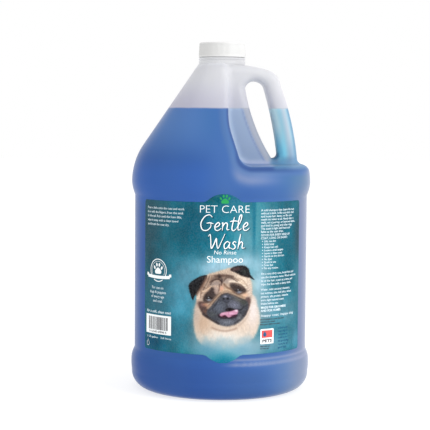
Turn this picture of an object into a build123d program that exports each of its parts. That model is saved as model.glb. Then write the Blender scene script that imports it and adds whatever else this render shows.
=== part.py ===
from build123d import *
from math import cos, radians, sin, tan
import os

# One US gallon round jug in natural polyethylene with a through handle, a 38-400 screw cap,
# a film label round the front and the shampoo inside. Sizes in millimetres.
# +Z is up, the jug stands on z = 0, the label faces -Y and the handle is on the +X side.

# Jug body
body_radius = 77.9
panel_radius = 75.1
panel_low = 35.1
panel_high = 169.5
shoulder_height = 180.7
shoulder_arc = 57.0
cone_angle = 34.2
push_up = 5.1
foot_inner = 57.0
foot_outer = 64.0
heel_arc = 14.8
heel_end = (77.4, 16.3)
heel_bulge_height = 24.5
wall = 0.9

# Handle: the recess beside it, the hollow grip and the finger window
recess_x = 4.3
recess_z = 196.5
recess_knee = (recess_x, 231.0)
recess_foot = (14.8, recess_z)
recess_knee_round = 60.0
recess_foot_round = 12.0
recess_round = 6.1
grip_half = 14.25
grip_half_height = 199.5
grip_lean = 4.4
grip_round = 5.6
grip_knee = (45.3, 275.9)
grip_knee_round = 9.2
window_left_top = (18.9, 267.2)
window_right_top = (35.1, 268.2)
window_sill_left = (43.2, 201.4)
window_sill_right = (48.4, 203.4)
window_round = 6.1
window_sill_round = 2.4

# Neck finish, 38-400
collar_radius = 20.2
collar_low = 282.6
collar_high = 288.4
groove_low = 285.2
groove_high = 286.5
groove_depth = 0.5
neck_root = 17.4
thread_radius = 18.55
mouth_radius = 15.1
mouth_height = 298.6
lip_chamfer = 0.5
pitch = 4.233
thread_turns = 1.1
thread_low = 290.7
thread_base = 0.95
thread_crest = 0.45
thread_sink = 0.3

# Cap
cap_low = 289.6
cap_high = 301.3
cap_radius_low = 20.35
cap_radius_high = 19.75
cap_edge_round = 0.9
cap_bore = 18.85
cap_thread_radius = 17.75
cap_thread_low = 290.85
cap_thread_start = 150
cap_top_wall = 1.5
rim_height = 1.3
rib_count = 96
rib_depth = 0.35
rib_width = 0.7

# Foil seal on the mouth and foam liner in the cap
seal_thickness = 0.1
seal_radius = 17.0
liner_thickness = 1.1
liner_radius = 18.75

# Label, with a domed tab at the middle of its top and bottom edges
label_thickness = 0.15
label_half_width = 64.8
label_low = 40.1
label_high = 167.1
label_corner = 2.5
tab_arc = 18.4
tab_high = 173.9
tab_low = 33.7
tab_root_round = 4.0

# Contents
fill_height = 244.0
contents_gap = 0.1

# Reach of the cutting and clipping solids, well past the jug
far = 110
above = 330

shoulder_centre = body_radius - shoulder_arc


def jug_body(inset, top_radius):
    # The round body: pushed-up base, label panel, shoulder arc and a cone up to the neck.
    arc = shoulder_arc - inset
    cone_start = (
        shoulder_centre + arc * cos(radians(cone_angle)),
        shoulder_height + arc * sin(radians(cone_angle)),
    )
    cone_end = cone_start[1] + (cone_start[0] - top_radius) / tan(radians(cone_angle))
    heel = (heel_end[0] - inset, heel_end[1])
    half = Plane(origin=(0, 0, 0), x_dir=(-1, 0, 0), z_dir=(0, 1, 0))
    with BuildPart() as body:
        with BuildSketch(half):
            with BuildLine():
                base = ThreePointArc(
                    (0, push_up + inset), (30.5, 4.0 + inset), (foot_inner - 2, 0.6 + inset)
                )
                step = Line(base @ 1, (foot_inner, inset))
                foot = Line(step @ 1, (foot_outer, inset))
                corner = RadiusArc(foot @ 1, heel, inset - heel_arc)
                bulge_end = (body_radius - inset, heel_bulge_height)
                bulge = TangentArc(corner @ 1, bulge_end, tangent=corner % 1)
                panel_start = (panel_radius - inset, panel_low)
                rise = ThreePointArc(bulge @ 1, (77.0 - inset, 31.0), panel_start)
                panel = Line(rise @ 1, (panel_radius - inset, panel_high))
                shoulder_start = (body_radius - inset, shoulder_height)
                under = ThreePointArc(panel @ 1, (76.9 - inset, 174.6), shoulder_start)
                shoulder = TangentArc(under @ 1, cone_start, tangent=(0, 1))
                cone = Line(shoulder @ 1, (top_radius, cone_end))
                top = Line(cone @ 1, (0, cone_end))
                Line(top @ 1, base @ 0)
            make_face()
        revolve(axis=Axis.Z)
    return body.part, cone_end


def recessed_body(inset, top_radius):
    # The body with the handle recess cut right through its shoulder, its rim rounded over.
    revolved, cone_end = jug_body(inset, top_radius)
    edge_z = recess_z - inset
    with BuildPart() as recessed:
        add(revolved)
        with BuildSketch(Plane.XZ) as recess:
            with BuildLine():
                Polyline(
                    (recess_x, above),
                    recess_knee,
                    recess_foot,
                    (far, recess_z),
                    (far, above),
                    close=True,
                )
            make_face()
            for corner, radius in (
                (recess_knee, recess_knee_round),
                (recess_foot, recess_foot_round),
            ):
                fillet(recess.vertices().sort_by_distance((*corner, 0))[0], radius=radius)
            if inset:
                offset(amount=inset)
        extrude(amount=far, both=True, mode=Mode.SUBTRACT)
        rim = [
            edge
            for edge in recessed.edges()
            if edge.geom_type != GeomType.LINE
            and edge.bounding_box().min.Z > edge_z - 1
            and edge.bounding_box().min.Z < cone_end - 1
        ]
        fillet(rim, radius=recess_round - inset)
    return recessed.part


def grip_shape(inset):
    # The grip and the web beside it: a leaning-sided plate with the finger window through it.
    foot_height = recess_z - 13.5
    with BuildPart() as grip:
        with BuildSketch(Plane.XZ) as outline:
            with BuildLine():
                root = Line((0, 283.1), (collar_radius - 0.3, 281.5))
                crown = ThreePointArc(root @ 1, (31.6, 279.5), grip_knee)
                outer = ThreePointArc(crown @ 1, (58.4, 240.5), (65.6, 201.6))
                foot = Line(outer @ 1, (65.6, foot_height))
                hidden = Line(foot @ 1, (0, foot_height))
                Line(hidden @ 1, root @ 0)
            make_face()
            fillet(outline.vertices().sort_by_distance((*grip_knee, 0))[0], radius=grip_knee_round)
            if inset:
                offset(amount=-inset)
        extrude(amount=2 * grip_half, both=True)
        for side in (1, -1):
            leaning = Plane(
                origin=(0, side * (grip_half - inset), grip_half_height),
                x_dir=(1, 0, 0),
                z_dir=(0, side * cos(radians(grip_lean)), -sin(radians(grip_lean))),
            )
            split(bisect_by=leaning, keep=Keep.BOTTOM)
        with BuildSketch(Plane.XZ) as window:
            with BuildLine():
                left = ThreePointArc(window_left_top, (27.3, 233.4), window_sill_left)
                sill = Line(left @ 1, window_sill_right)
                right = ThreePointArc(sill @ 1, (44.8, 230.5), window_right_top)
                Line(right @ 1, left @ 0)
            make_face()
            for corner in (window_left_top, window_right_top):
                fillet(window.vertices().sort_by_distance((*corner, 0))[0], radius=window_round)
            for corner in (window_sill_left, window_sill_right):
                fillet(
                    window.vertices().sort_by_distance((*corner, 0))[0], radius=window_sill_round
                )
            if inset:
                offset(amount=inset)
        extrude(amount=far, both=True, mode=Mode.SUBTRACT)
        flanks = [face for face in grip.faces() if abs(face.normal_at().Y) > 0.95]
        exposed = [
            edge
            for face in flanks
            for edge in face.edges()
            if edge.bounding_box().max.X > inset + 1.5
            and edge.bounding_box().max.Z > foot_height + inset + 1.5
            and not (
                edge.bounding_box().max.X < collar_radius + 0.3
                and edge.bounding_box().min.Z > grip_knee[1] - 1
            )
        ]
        fillet(exposed, radius=grip_round - inset)
    return grip.part


def jug_shape(inset, top_radius):
    # The whole blown form. A positive inset gives the form of the cavity inside it.
    with BuildPart() as shape:
        add(recessed_body(inset, top_radius))
        add(grip_shape(inset))
    return shape.part


def thread_ridge(root_radius, crest_radius, start):
    # A right-handed ridge, wide at its root, which is sunk a little into the wall it stands on.
    outwards = 1 if crest_radius > root_radius else -1
    flank = (thread_base - thread_crest) / abs(crest_radius - root_radius)
    sunk = -outwards * thread_sink
    crest = crest_radius - root_radius
    wide = thread_base + flank * thread_sink
    with BuildPart() as ridge:
        with BuildLine():
            path = Helix(pitch, pitch * thread_turns, root_radius, center=(0, 0, start))
        with BuildSketch(Plane(origin=path @ 0, x_dir=(1, 0, 0), z_dir=path % 0)):
            with BuildLine():
                Polyline(
                    (sunk, -wide),
                    (crest, -thread_crest),
                    (crest, thread_crest),
                    (sunk, wide),
                    close=True,
                )
            make_face()
        sweep(path=path, is_frenet=True)
    return ridge.part


os.makedirs("parts", exist_ok=True)

# Jug: the blown shell with its collar and threaded neck
with BuildPart() as jug:
    add(jug_shape(0, collar_radius))
    with BuildSketch(Plane.XZ):
        with BuildLine():
            Polyline(
                (0, collar_low),
                (collar_radius, collar_low),
                (collar_radius, groove_low),
                (collar_radius - groove_depth, groove_low + 0.4),
                (collar_radius - groove_depth, groove_high - 0.4),
                (collar_radius, groove_high),
                (collar_radius, collar_high - lip_chamfer),
                (collar_radius - lip_chamfer, collar_high),
                (neck_root, collar_high),
                (neck_root, mouth_height - lip_chamfer),
                (neck_root - lip_chamfer, mouth_height),
                (0, mouth_height),
                close=True,
            )
        make_face()
    revolve(axis=Axis.Z)
    add(thread_ridge(neck_root, thread_radius, thread_low))
    add(jug_shape(wall, mouth_radius), mode=Mode.SUBTRACT)
    with BuildSketch(Plane.XY.offset(mouth_height)):
        Circle(mouth_radius)
    extrude(amount=collar_low - mouth_height - 12, mode=Mode.SUBTRACT)

# Screw cap: ribbed skirt over a plain rim, flat top, one thread inside
with BuildPart() as screw_cap:
    with BuildSketch(Plane.XY.offset(cap_low)):
        Circle(cap_radius_low - rib_depth)
        with PolarLocations(cap_radius_low - rib_depth, rib_count):
            Rectangle(2 * rib_depth, rib_width)
    extrude(amount=cap_high - cap_low)
    with BuildSketch(Plane.XY.offset(cap_low)):
        Circle(cap_radius_low)
    extrude(amount=rim_height)
    with BuildSketch(Plane.XZ) as envelope:
        with BuildLine():
            Polyline(
                (0, cap_low),
                (cap_radius_low, cap_low),
                (cap_radius_high, cap_high),
                (0, cap_high),
                close=True,
            )
        make_face()
        top_edge = envelope.vertices().sort_by_distance((cap_radius_high, cap_high, 0))[0]
        fillet(top_edge, radius=cap_edge_round)
    revolve(axis=Axis.Z, mode=Mode.INTERSECT)
    with BuildSketch(Plane.XY.offset(cap_low)):
        Circle(cap_bore)
    extrude(amount=cap_high - cap_low - cap_top_wall, mode=Mode.SUBTRACT)
    add(
        thread_ridge(cap_bore, cap_thread_radius, cap_thread_low),
        rotation=(0, 0, cap_thread_start),
    )

# Foam liner pressed into the cap
with BuildPart() as cap_liner:
    with BuildSketch(Plane.XY.offset(mouth_height + seal_thickness)):
        Circle(liner_radius)
    extrude(amount=liner_thickness)

# Foil seal bonded to the mouth
with BuildPart() as mouth_seal:
    with BuildSketch(Plane.XY.offset(mouth_height)):
        Circle(seal_radius)
    extrude(amount=seal_thickness)

# Film label: a skin on the front of the body, which it follows up into its tabs
with BuildPart() as label:
    add(jug_body(-label_thickness, collar_radius)[0])
    add(jug_body(0, collar_radius)[0], mode=Mode.SUBTRACT)
    with BuildSketch(Plane.XZ) as label_outline:
        with Locations((0, (label_low + label_high) / 2)):
            RectangleRounded(2 * label_half_width, label_high - label_low, label_corner)
        with Locations((0, tab_high - tab_arc), (0, tab_low + tab_arc)):
            Circle(tab_arc)
        tab_roots = [
            vertex
            for vertex in label_outline.vertices()
            if abs(vertex.X) < tab_arc and min(vertex.Y - label_low, label_high - vertex.Y) < 0.1
        ]
        fillet(tab_roots, radius=tab_root_round)
    extrude(amount=far, mode=Mode.INTERSECT)

# Shampoo up to its fill line, in the body and in the hollow grip
with BuildPart() as shampoo:
    add(jug_shape(wall + contents_gap, mouth_radius))
    split(bisect_by=Plane.XY.offset(fill_height), keep=Keep.BOTTOM)

for name, piece in (
    ("jug", jug),
    ("screw_cap", screw_cap),
    ("cap_liner", cap_liner),
    ("mouth_seal", mouth_seal),
    ("label", label),
    ("shampoo", shampoo),
):
    piece.part.label = name
    export_step(piece.part, f"parts/{name}.step")
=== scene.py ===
import math

import bmesh
import bpy
import numpy as np
from mathutils import Matrix, Vector


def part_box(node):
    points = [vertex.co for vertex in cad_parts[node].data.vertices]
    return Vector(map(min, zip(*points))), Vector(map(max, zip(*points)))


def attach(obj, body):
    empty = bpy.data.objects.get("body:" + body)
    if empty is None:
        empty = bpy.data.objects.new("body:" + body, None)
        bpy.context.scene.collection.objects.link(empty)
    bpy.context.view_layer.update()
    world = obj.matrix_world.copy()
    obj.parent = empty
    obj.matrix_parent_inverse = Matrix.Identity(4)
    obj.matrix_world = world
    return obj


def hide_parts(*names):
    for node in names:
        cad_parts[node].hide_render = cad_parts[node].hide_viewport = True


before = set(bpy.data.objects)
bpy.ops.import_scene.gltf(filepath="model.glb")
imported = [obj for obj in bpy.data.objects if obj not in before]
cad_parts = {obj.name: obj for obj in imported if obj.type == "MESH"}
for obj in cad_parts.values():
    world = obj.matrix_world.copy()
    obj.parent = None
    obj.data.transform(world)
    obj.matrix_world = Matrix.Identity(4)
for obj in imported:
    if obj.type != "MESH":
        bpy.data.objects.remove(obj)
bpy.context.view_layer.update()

# Shapes are worked out in millimetres and written to Blender in metres.
MM = 0.001
rng = np.random.default_rng(7)

# ---------------------------------------------------------------- driving sizes, in millimetres
_, jug_high = (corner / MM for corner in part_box("jug"))
_, cap_high = (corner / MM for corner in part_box("screw_cap"))
label_low, label_high = (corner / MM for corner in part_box("label"))
_, shampoo_high = (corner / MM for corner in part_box("shampoo"))

# Round body: base, label panel, shoulder and cone
BODY_R = jug_high.x
PANEL_DEPTH = 2.8
PANEL_R = BODY_R - PANEL_DEPTH
PANEL_LOW = 35.1
PANEL_HIGH = 169.5
SHOULDER_Z = 180.7
SHOULDER_ARC = 57.0
CONE = math.radians(34.2)
WALL = 0.9
FILL_Z = shampoo_high.z

# Recess beside the handle
RECESS_X = 4.3
RECESS_Z = 196.5
RECESS_KNEE = (RECESS_X, 231.0)
RECESS_FOOT = (14.8, RECESS_Z)
KNEE_ROUND = 60.0
FOOT_ROUND = 12.0
RECESS_ROUND = 6.1

# Handle, and the middle line of its finger window
GRIP_HALF = 14.25
GRIP_FOOT_Z = 199.5
GRIP_LEAN = math.radians(4.4)
GRIP_ROUND = 6.6
ROOT_BLEND = 5.0
WINDOW_MIDDLE = 31.3
WINDOW_LEAN = 0.42

# Collar, neck and its thread
COLLAR_R = 20.2
COLLAR_LOW = 282.6
COLLAR_HIGH = 288.4
GROOVE_R = COLLAR_R - 0.5
NECK_R = 17.4
MOUTH_R = 15.1
MOUTH_Z = jug_high.z
PITCH = 4.233
THREAD_R = 18.55
THREAD_TURNS = 1.1
THREAD_LOW = 290.7

# Cap
CAP_GAP = 0.3
CAP_BORE = 18.85
CAP_THREAD_R = 17.75
CAP_THREAD_LOW = 290.85
CAP_THREAD_START = math.radians(150)
CAP_TOP_WALL = 1.5
RIM_HEIGHT = 1.6
RIBS = 120
RIB_DEPTH = 0.22

# Label, measured round the panel, with a tab in the middle of its top and bottom
LABEL_HALF = 79.4
LABEL_LOW = 40.1
LABEL_HIGH = 167.1
LABEL_CORNER = 2.5
LABEL_THICKNESS = 0.15
LABEL_R = PANEL_R + LABEL_THICKNESS
TAB_ARC = 18.4
TAB_HIGH = label_high.z
TAB_LOW = label_low.z
TAB_ROOT = 4.0
PRINT_LIFT = LABEL_THICKNESS + 0.06
PRINT_DEPTH = 0.04

# Size of the cells that the jug and its contents are meshed from
CELL = 1.5


# ---------------------------------------------------------------- meshes
def mesh_object(name, points, faces, material, smooth=True):
    """A mesh object from points in millimetres."""
    mesh = bpy.data.meshes.new(name)
    corners = (np.asarray(points, float) * MM).tolist()
    mesh.from_pydata(corners, [], [tuple(map(int, face)) for face in faces])
    mesh.validate()
    mesh.polygons.foreach_set("use_smooth", [smooth] * len(mesh.polygons))
    mesh.materials.append(material)
    mesh.update()
    thing = bpy.data.objects.new(name, mesh)
    bpy.context.scene.collection.objects.link(thing)
    return thing


def grid_faces(rows, columns, wrap=False):
    """Quads over a rows by columns grid of points, closed round if wrap."""
    across = np.arange(columns if wrap else columns - 1)
    here, left = np.meshgrid(np.arange(rows - 1) * columns, across, indexing="ij")
    right = (left + 1) % columns
    above = here + columns
    return np.stack([here + left, here + right, above + right, above + left], -1).reshape(-1, 4)


# ---------------------------------------------------------------- the jug as a distance field
def arc(centre, radius, start, end, count):
    """Points round a circle from one angle to another, in degrees."""
    angles = np.linspace(math.radians(start), math.radians(end), count)
    return [(centre[0] + radius * math.cos(a), centre[1] + radius * math.sin(a)) for a in angles]


def through(a, b, c, count=14):
    """Points on the circle arc from a to c by way of b."""
    (ax, ay), (bx, by), (cx, cy) = a, b, c
    d = 2 * (ax * (by - cy) + bx * (cy - ay) + cx * (ay - by))
    ux = ((ax**2 + ay**2) * (by - cy) + (bx**2 + by**2) * (cy - ay) + (cx**2 + cy**2) * (ay - by)) / d
    uy = ((ax**2 + ay**2) * (cx - bx) + (bx**2 + by**2) * (ax - cx) + (cx**2 + cy**2) * (bx - ax)) / d
    radius = math.hypot(ax - ux, ay - uy)
    first, mid, last = (math.degrees(math.atan2(p[1] - uy, p[0] - ux)) for p in (a, b, c))
    span = (last - first) % 360
    if not (mid - first) % 360 < span:
        span -= 360
    return arc((ux, uy), radius, first, first + span, count)


def outline_distance(points, u, v):
    """Signed distance in a plane to a closed outline, negative inside."""
    points = np.round(np.asarray(points, float), 6)
    best = np.full(u.shape, 1e9)
    inside = np.zeros(u.shape, bool)
    for (ax, ay), (bx, by) in zip(points, np.roll(points, -1, axis=0)):
        ex, ey = bx - ax, by - ay
        length = ex * ex + ey * ey
        if length < 1e-12:
            continue
        t = np.clip(((u - ax) * ex + (v - ay) * ey) / length, 0, 1)
        best = np.minimum(best, np.hypot(u - ax - t * ex, v - ay - t * ey))
        crosses = (ay > v) != (by > v)
        safe = ey if abs(ey) > 1e-12 else 1e-12
        inside ^= crosses & (u < ax + ex * (v - ay) / safe)
    return np.where(inside, -best, best)


def rounded_max(a, b, radius):
    """Distance to what two shapes share, with a round of this radius where they meet."""
    corner = np.hypot(np.maximum(a + radius, 0), np.maximum(b + radius, 0))
    return np.minimum(-radius, np.maximum(a, b)) + corner


def rounded_min(a, b, radius):
    """Distance to two shapes joined, with a fillet of this radius between them."""
    return -rounded_max(-a, -b, radius)


def body_outline():
    """Half profile of the round body, as (radius, height), closed along the axis."""
    centre = (BODY_R - SHOULDER_ARC, SHOULDER_Z)
    shoulder = arc(centre, SHOULDER_ARC, 0, math.degrees(CONE), 30)
    start_r, start_z = shoulder[-1]
    cone_top = start_z + (start_r - COLLAR_R) / math.tan(CONE)
    points = through((0, 5.1), (30.5, 4.0), (55, 0.6))
    points += [(57, 0), (64, 0)]
    points += through((64, 0), (74.2, 5.6), (77.4, 16.3))[1:]
    points += through((77.4, 16.3), (77.9, 20.5), (BODY_R, 24.5))[1:]
    points += through((BODY_R, 24.5), (77.0, 31.0), (PANEL_R, PANEL_LOW))[1:]
    points += [(PANEL_R, PANEL_HIGH)]
    points += through((PANEL_R, PANEL_HIGH), (76.9, 174.6), (BODY_R, SHOULDER_Z))[1:]
    points += shoulder[1:]
    points += [(COLLAR_R, cone_top), (-COLLAR_R, cone_top), (-COLLAR_R, 5.1)]
    return points


PROFILE_R, PROFILE_Z = np.array([p for p in body_outline() if p[0] > 60 and 10 < p[1] < 190]).T


def body_radius(height):
    """Radius of the round body at a height on its side."""
    return np.interp(height, PROFILE_Z, PROFILE_R)


def rounded_bend(before, corner, after, radius):
    """Points on a round of this radius where two straight edges meet at a corner."""
    back, ahead = (np.subtract(p, corner) / math.dist(p, corner) for p in (before, after))
    half = math.acos(back @ ahead) / 2
    middle = (back + ahead) / np.hypot(*(back + ahead))
    reach = radius / math.tan(half)
    tip = corner + middle * (radius / math.sin(half) - radius)
    return through(corner + back * reach, tip, corner + ahead * reach, 10)


def recess_outline():
    """Side view of the space cut out of the body beside the handle, running on beyond the jug."""
    beyond_top, beyond_side = 360, 140
    top, far_foot = (RECESS_X, beyond_top), (beyond_side, RECESS_Z)
    knee = rounded_bend(top, RECESS_KNEE, RECESS_FOOT, KNEE_ROUND)
    foot = rounded_bend(RECESS_KNEE, RECESS_FOOT, far_foot, FOOT_ROUND)
    return [top] + knee + foot + [far_foot, (beyond_side, beyond_top)]


def grip_outline():
    """Side view of the handle without its window, running into the body."""
    points = [(0, 283.1)]
    points += through((19.9, 281.5), (31.6, 279.7), (39.5, 277.6), 8)
    points += through((39.5, 277.6), (46.6, 273.2), (50.2, 265.0), 8)
    points += through((50.2, 265.0), (58.2, 240.5), (65.6, 201.6))
    return points + [(67, 183), (0, 183)]


def window_outline():
    """Side view of the finger window."""
    left = through((19.6, 262.5), (27.3, 233.4), (43.2, 201.6))
    sill = through((43.2, 201.6), (47.0, 202.2), (48.5, 206.5), 8)
    right = through((48.5, 206.5), (44.8, 230.5), (36.6, 263.5))
    crown = through((36.6, 263.5), (28.6, 268.3), (19.6, 262.5), 12)
    return left + sill[1:] + right[1:] + crown[1:-1]


class Lookup:
    """Distance to an outline, sampled once on a fine plane grid and read back by interpolation."""

    def __init__(self, outline, low=(-96, -6), high=(96, 306), step=0.5):
        self.low, self.step = np.array(low, float), step
        u, v = (np.arange(low[i], high[i] + step, step) for i in (0, 1))
        self.values = outline_distance(outline, *np.meshgrid(u, v, indexing="ij"))

    def __call__(self, u, v):
        a = np.clip((u - self.low[0]) / self.step, 0, self.values.shape[0] - 1.001)
        b = np.clip((v - self.low[1]) / self.step, 0, self.values.shape[1] - 1.001)
        i, j = a.astype(int), b.astype(int)
        a, b = a - i, b - j
        w = self.values
        low = w[i, j] * (1 - b) + w[i, j + 1] * b
        high = w[i + 1, j] * (1 - b) + w[i + 1, j + 1] * b
        return low * (1 - a) + high * a


body_plane = Lookup(body_outline(), low=(-2, -6))
recess_plane = Lookup(recess_outline())
outer_plane = Lookup(grip_outline())
window_plane = Lookup(window_outline())


def grip_plane(x, z):
    """Distance to the handle's side view with its window cut out."""
    return np.maximum(outer_plane(x, z), -window_plane(x, z))


def jug_distance(x, y, z):
    """How far a point is outside the jug's skin, in millimetres."""
    body = body_plane(np.hypot(x, y), z)
    recessed = rounded_max(body, -recess_plane(x, z), RECESS_ROUND)
    half = GRIP_HALF + (z - GRIP_FOOT_Z) * math.tan(GRIP_LEAN)
    slab = (np.abs(y) - half) * math.cos(GRIP_LEAN)
    grip = rounded_max(slab, grip_plane(x, z), GRIP_ROUND)
    return rounded_min(recessed, grip, ROOT_BLEND)


def edge_crossings(values):
    """For each axis: the grid edges that the surface crosses, how far along, and which start inside."""
    found = []
    for axis in range(3):
        size = values.shape[axis]
        a = np.take(values, range(size - 1), axis)
        b = np.take(values, range(1, size), axis)
        cross = (a < 0) != (b < 0)
        share = np.where(cross, a / np.where(cross, a - b, 1), 0)
        found.append((cross, share, a < 0))
    return found


def gather_crossings(edges, cells):
    """Sum and count of the crossing places round each grid cell, in cell units."""
    total = np.zeros((*cells, 3))
    count = np.zeros(cells)
    for axis, (cross, share, _) in enumerate(edges):
        u, v = (k for k in range(3) if k != axis)
        for du, dv in ((0, 0), (0, 1), (1, 0), (1, 1)):
            part = [slice(None)] * 3
            part[u] = slice(du, du + cells[u])
            part[v] = slice(dv, dv + cells[v])
            part = tuple(part)
            hit = cross[part]
            count += hit
            total[..., axis] += share[part] * hit
            total[..., u] += du * hit
            total[..., v] += dv * hit
    return total, count


def net_faces(edges, cells, index):
    """A quad round each crossed grid edge, joining the four cells beside it and facing outwards."""
    faces = []
    for axis, (cross, _, starts_inside) in enumerate(edges):
        u, v = (axis + 1) % 3, (axis + 2) % 3
        where = np.argwhere(cross)
        where = where[(where[:, u] > 0) & (where[:, v] > 0)]
        where = where[(where[:, u] < cells[u]) & (where[:, v] < cells[v])]
        corners = []
        for du, dv in ((1, 1), (0, 1), (0, 0), (1, 0)):
            cell = where.copy()
            cell[:, u] -= du
            cell[:, v] -= dv
            corners.append(index[tuple(cell.T)])
        quad = np.stack(corners, -1)
        outward = starts_inside[tuple(where.T)]
        quad[~outward] = quad[~outward][:, ::-1]
        faces.append(quad)
    return np.concatenate(faces)


def slope_of(distance, points, reach=0.2):
    """Slope of a distance field at each point."""
    steps = reach * np.eye(3)
    rises = [distance(*(points + step).T) - distance(*(points - step).T) for step in steps]
    return np.stack([rise / (2 * reach) for rise in rises], -1)


def surface_net(distance, low, high):
    """Closed quad mesh of distance = 0 from one point per grid cell, pulled onto the surface."""
    axes = [np.arange(low[i], high[i] + CELL, CELL) for i in range(3)]
    x, y, z = np.meshgrid(*axes, indexing="ij", sparse=True)
    values = distance(x, y, z) + 0 * (x + y + z)
    cells = np.array(values.shape) - 1
    edges = edge_crossings(values)
    total, count = gather_crossings(edges, cells)
    active = count > 0
    index = np.full(cells, -1)
    index[active] = np.arange(active.sum())
    points = np.argwhere(active) + total[active] / count[active][:, None]
    points = points * CELL + np.array([a[0] for a in axes])
    for _ in range(3):
        here = distance(*points.T)
        slope = slope_of(distance, points)
        steep = np.maximum((slope**2).sum(-1), 0.2)
        points -= np.clip(here / steep, -CELL / 2, CELL / 2)[:, None] * slope
    return points, net_faces(edges, cells, index)


# ---------------------------------------------------------------- turned pieces with threads
def turned(name, profile, material, turns=256, ripple=None):
    """A closed turned solid from (radius, height) points; ripple adds to the radius at each point."""
    profile = np.asarray(profile, float)
    angle = np.linspace(0, 2 * math.pi, turns, endpoint=False)
    radius = np.repeat(profile[:, :1], turns, 1)
    height = np.repeat(profile[:, 1:], turns, 1)
    around = np.repeat(angle[None, :], len(profile), 0)
    if ripple:
        radius = radius + ripple(around, radius, height)
    points = np.stack([radius * np.cos(around), radius * np.sin(around), height], -1).reshape(-1, 3)
    quads = grid_faces(len(profile), turns, wrap=True)
    return mesh_object(name, points, quads, material)


def dense(points, step):
    """The same outline with points at most step apart."""
    out = [points[0]]
    for (ax, ay), (bx, by) in zip(points, points[1:]):
        pieces = max(1, math.ceil(math.hypot(bx - ax, by - ay) / step))
        shares = range(1, pieces + 1)
        out += [(ax + (bx - ax) * k / pieces, ay + (by - ay) * k / pieces) for k in shares]
    return out


def thread_height(angle, height, low, start, depth):
    """Height of a one-start right-handed thread over its root, faded out at both ends."""
    half_foot, flank_width, run_out = 0.95, 0.5, 0.15
    end = 2 * math.pi * THREAD_TURNS
    best = np.zeros_like(height)
    for turn in (0, 1):
        along = (angle - start) % (2 * math.pi) + 2 * math.pi * turn
        middle = low + PITCH * along / (2 * math.pi)
        flank = np.clip((half_foot - np.abs(height - middle)) / flank_width, 0, 1)
        fade = np.clip(along / run_out, 0, 1) * np.clip((end - along) / run_out, 0, 1)
        best = np.maximum(best, flank * fade)
    return best * depth


# ---------------------------------------------------------------- materials
def new_material(name):
    """A material with an empty node tree."""
    made = bpy.data.materials.new(name)
    made.use_nodes = True
    made.node_tree.nodes.clear()
    return made, made.node_tree


def plug(tree, made, key, value):
    """Links an input to a socket, or sets it to a plain value."""
    if isinstance(value, bpy.types.NodeSocket):
        tree.links.new(value, made.inputs[key])
    else:
        made.inputs[key].default_value = value


def node(tree, kind, inputs=None, **settings):
    """One shader node with its settings and inputs."""
    made = tree.nodes.new(kind)
    for key, value in settings.items():
        setattr(made, key, value)
    for key, value in (inputs or {}).items():
        plug(tree, made, key, value)
    return made


def finished(made, surface):
    """The material, showing this surface."""
    node(made.node_tree, "ShaderNodeOutputMaterial", {"Surface": surface})
    return made


def principled(made, inputs):
    """The material, showing one principled surface."""
    return finished(made, node(made.node_tree, "ShaderNodeBsdfPrincipled", inputs).outputs[0])


def maths(tree, operation, a, b=0.0):
    return node(tree, "ShaderNodeMath", {0: a, 1: b}, operation=operation).outputs[0]


def times(tree, a, b):
    return maths(tree, "MULTIPLY", a, b)


def plus(tree, a, b):
    return maths(tree, "ADD", a, b)


def spread(tree, value, low, high, to_low, to_high):
    """A value eased from one range to another."""
    inputs = {"Value": value, 1: low, 2: high, 3: to_low, 4: to_high}
    return node(tree, "ShaderNodeMapRange", inputs, interpolation_type="SMOOTHSTEP").outputs[0]


def noise(tree, scale, detail=2.0, stretch=(1, 1, 1)):
    """Soft noise fixed to the object, as a value from 0 to 1."""
    place = node(tree, "ShaderNodeTexCoord").outputs["Object"]
    scaled = node(tree, "ShaderNodeVectorMath", {0: place, 1: stretch}, operation="MULTIPLY").outputs[0]
    inputs = {"Vector": scaled, "Scale": scale, "Detail": detail}
    return node(tree, "ShaderNodeTexNoise", inputs).outputs["Fac"]


def blend_colours(tree, factor, a, b):
    """Colour a changing to colour b as the factor goes from 0 to 1."""
    made = node(tree, "ShaderNodeMix", data_type="RGBA")
    places = {socket.identifier: k for k, socket in enumerate(made.inputs)}
    for name, value in (("Factor_Float", factor), ("A_Color", a), ("B_Color", b)):
        plug(tree, made, places[name], value)
    return next(s for s in made.outputs if s.identifier == "Result_Color")


def bump(tree, height, strength, distance=0.0005):
    """Normal of a fine relief."""
    inputs = {"Height": height, "Strength": strength, "Distance": distance}
    return node(tree, "ShaderNodeBump", inputs).outputs["Normal"]


def linear_light(display):
    """Linear values from display values of 0 to 255."""
    share = np.clip(np.asarray(display, float) / 255, 0, 1)
    return np.where(share > 0.04045, ((share + 0.055) / 1.055) ** 2.4, share / 12.92)


def srgb(*display):
    """Linear colour with alpha from three display values."""
    return (*linear_light(display).tolist(), 1.0)


def paint_points(thing, layer_name, display, alpha=1.0):
    """Gives each point of a mesh a display colour and an alpha from 0 to 1."""
    linear = linear_light(display)
    colours = np.concatenate([linear, np.broadcast_to(alpha, len(linear))[:, None]], 1)
    layer = thing.data.color_attributes.new(layer_name, "FLOAT_COLOR", "POINT")
    layer.data.foreach_set("color", colours.astype(np.float32).ravel())


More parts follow.
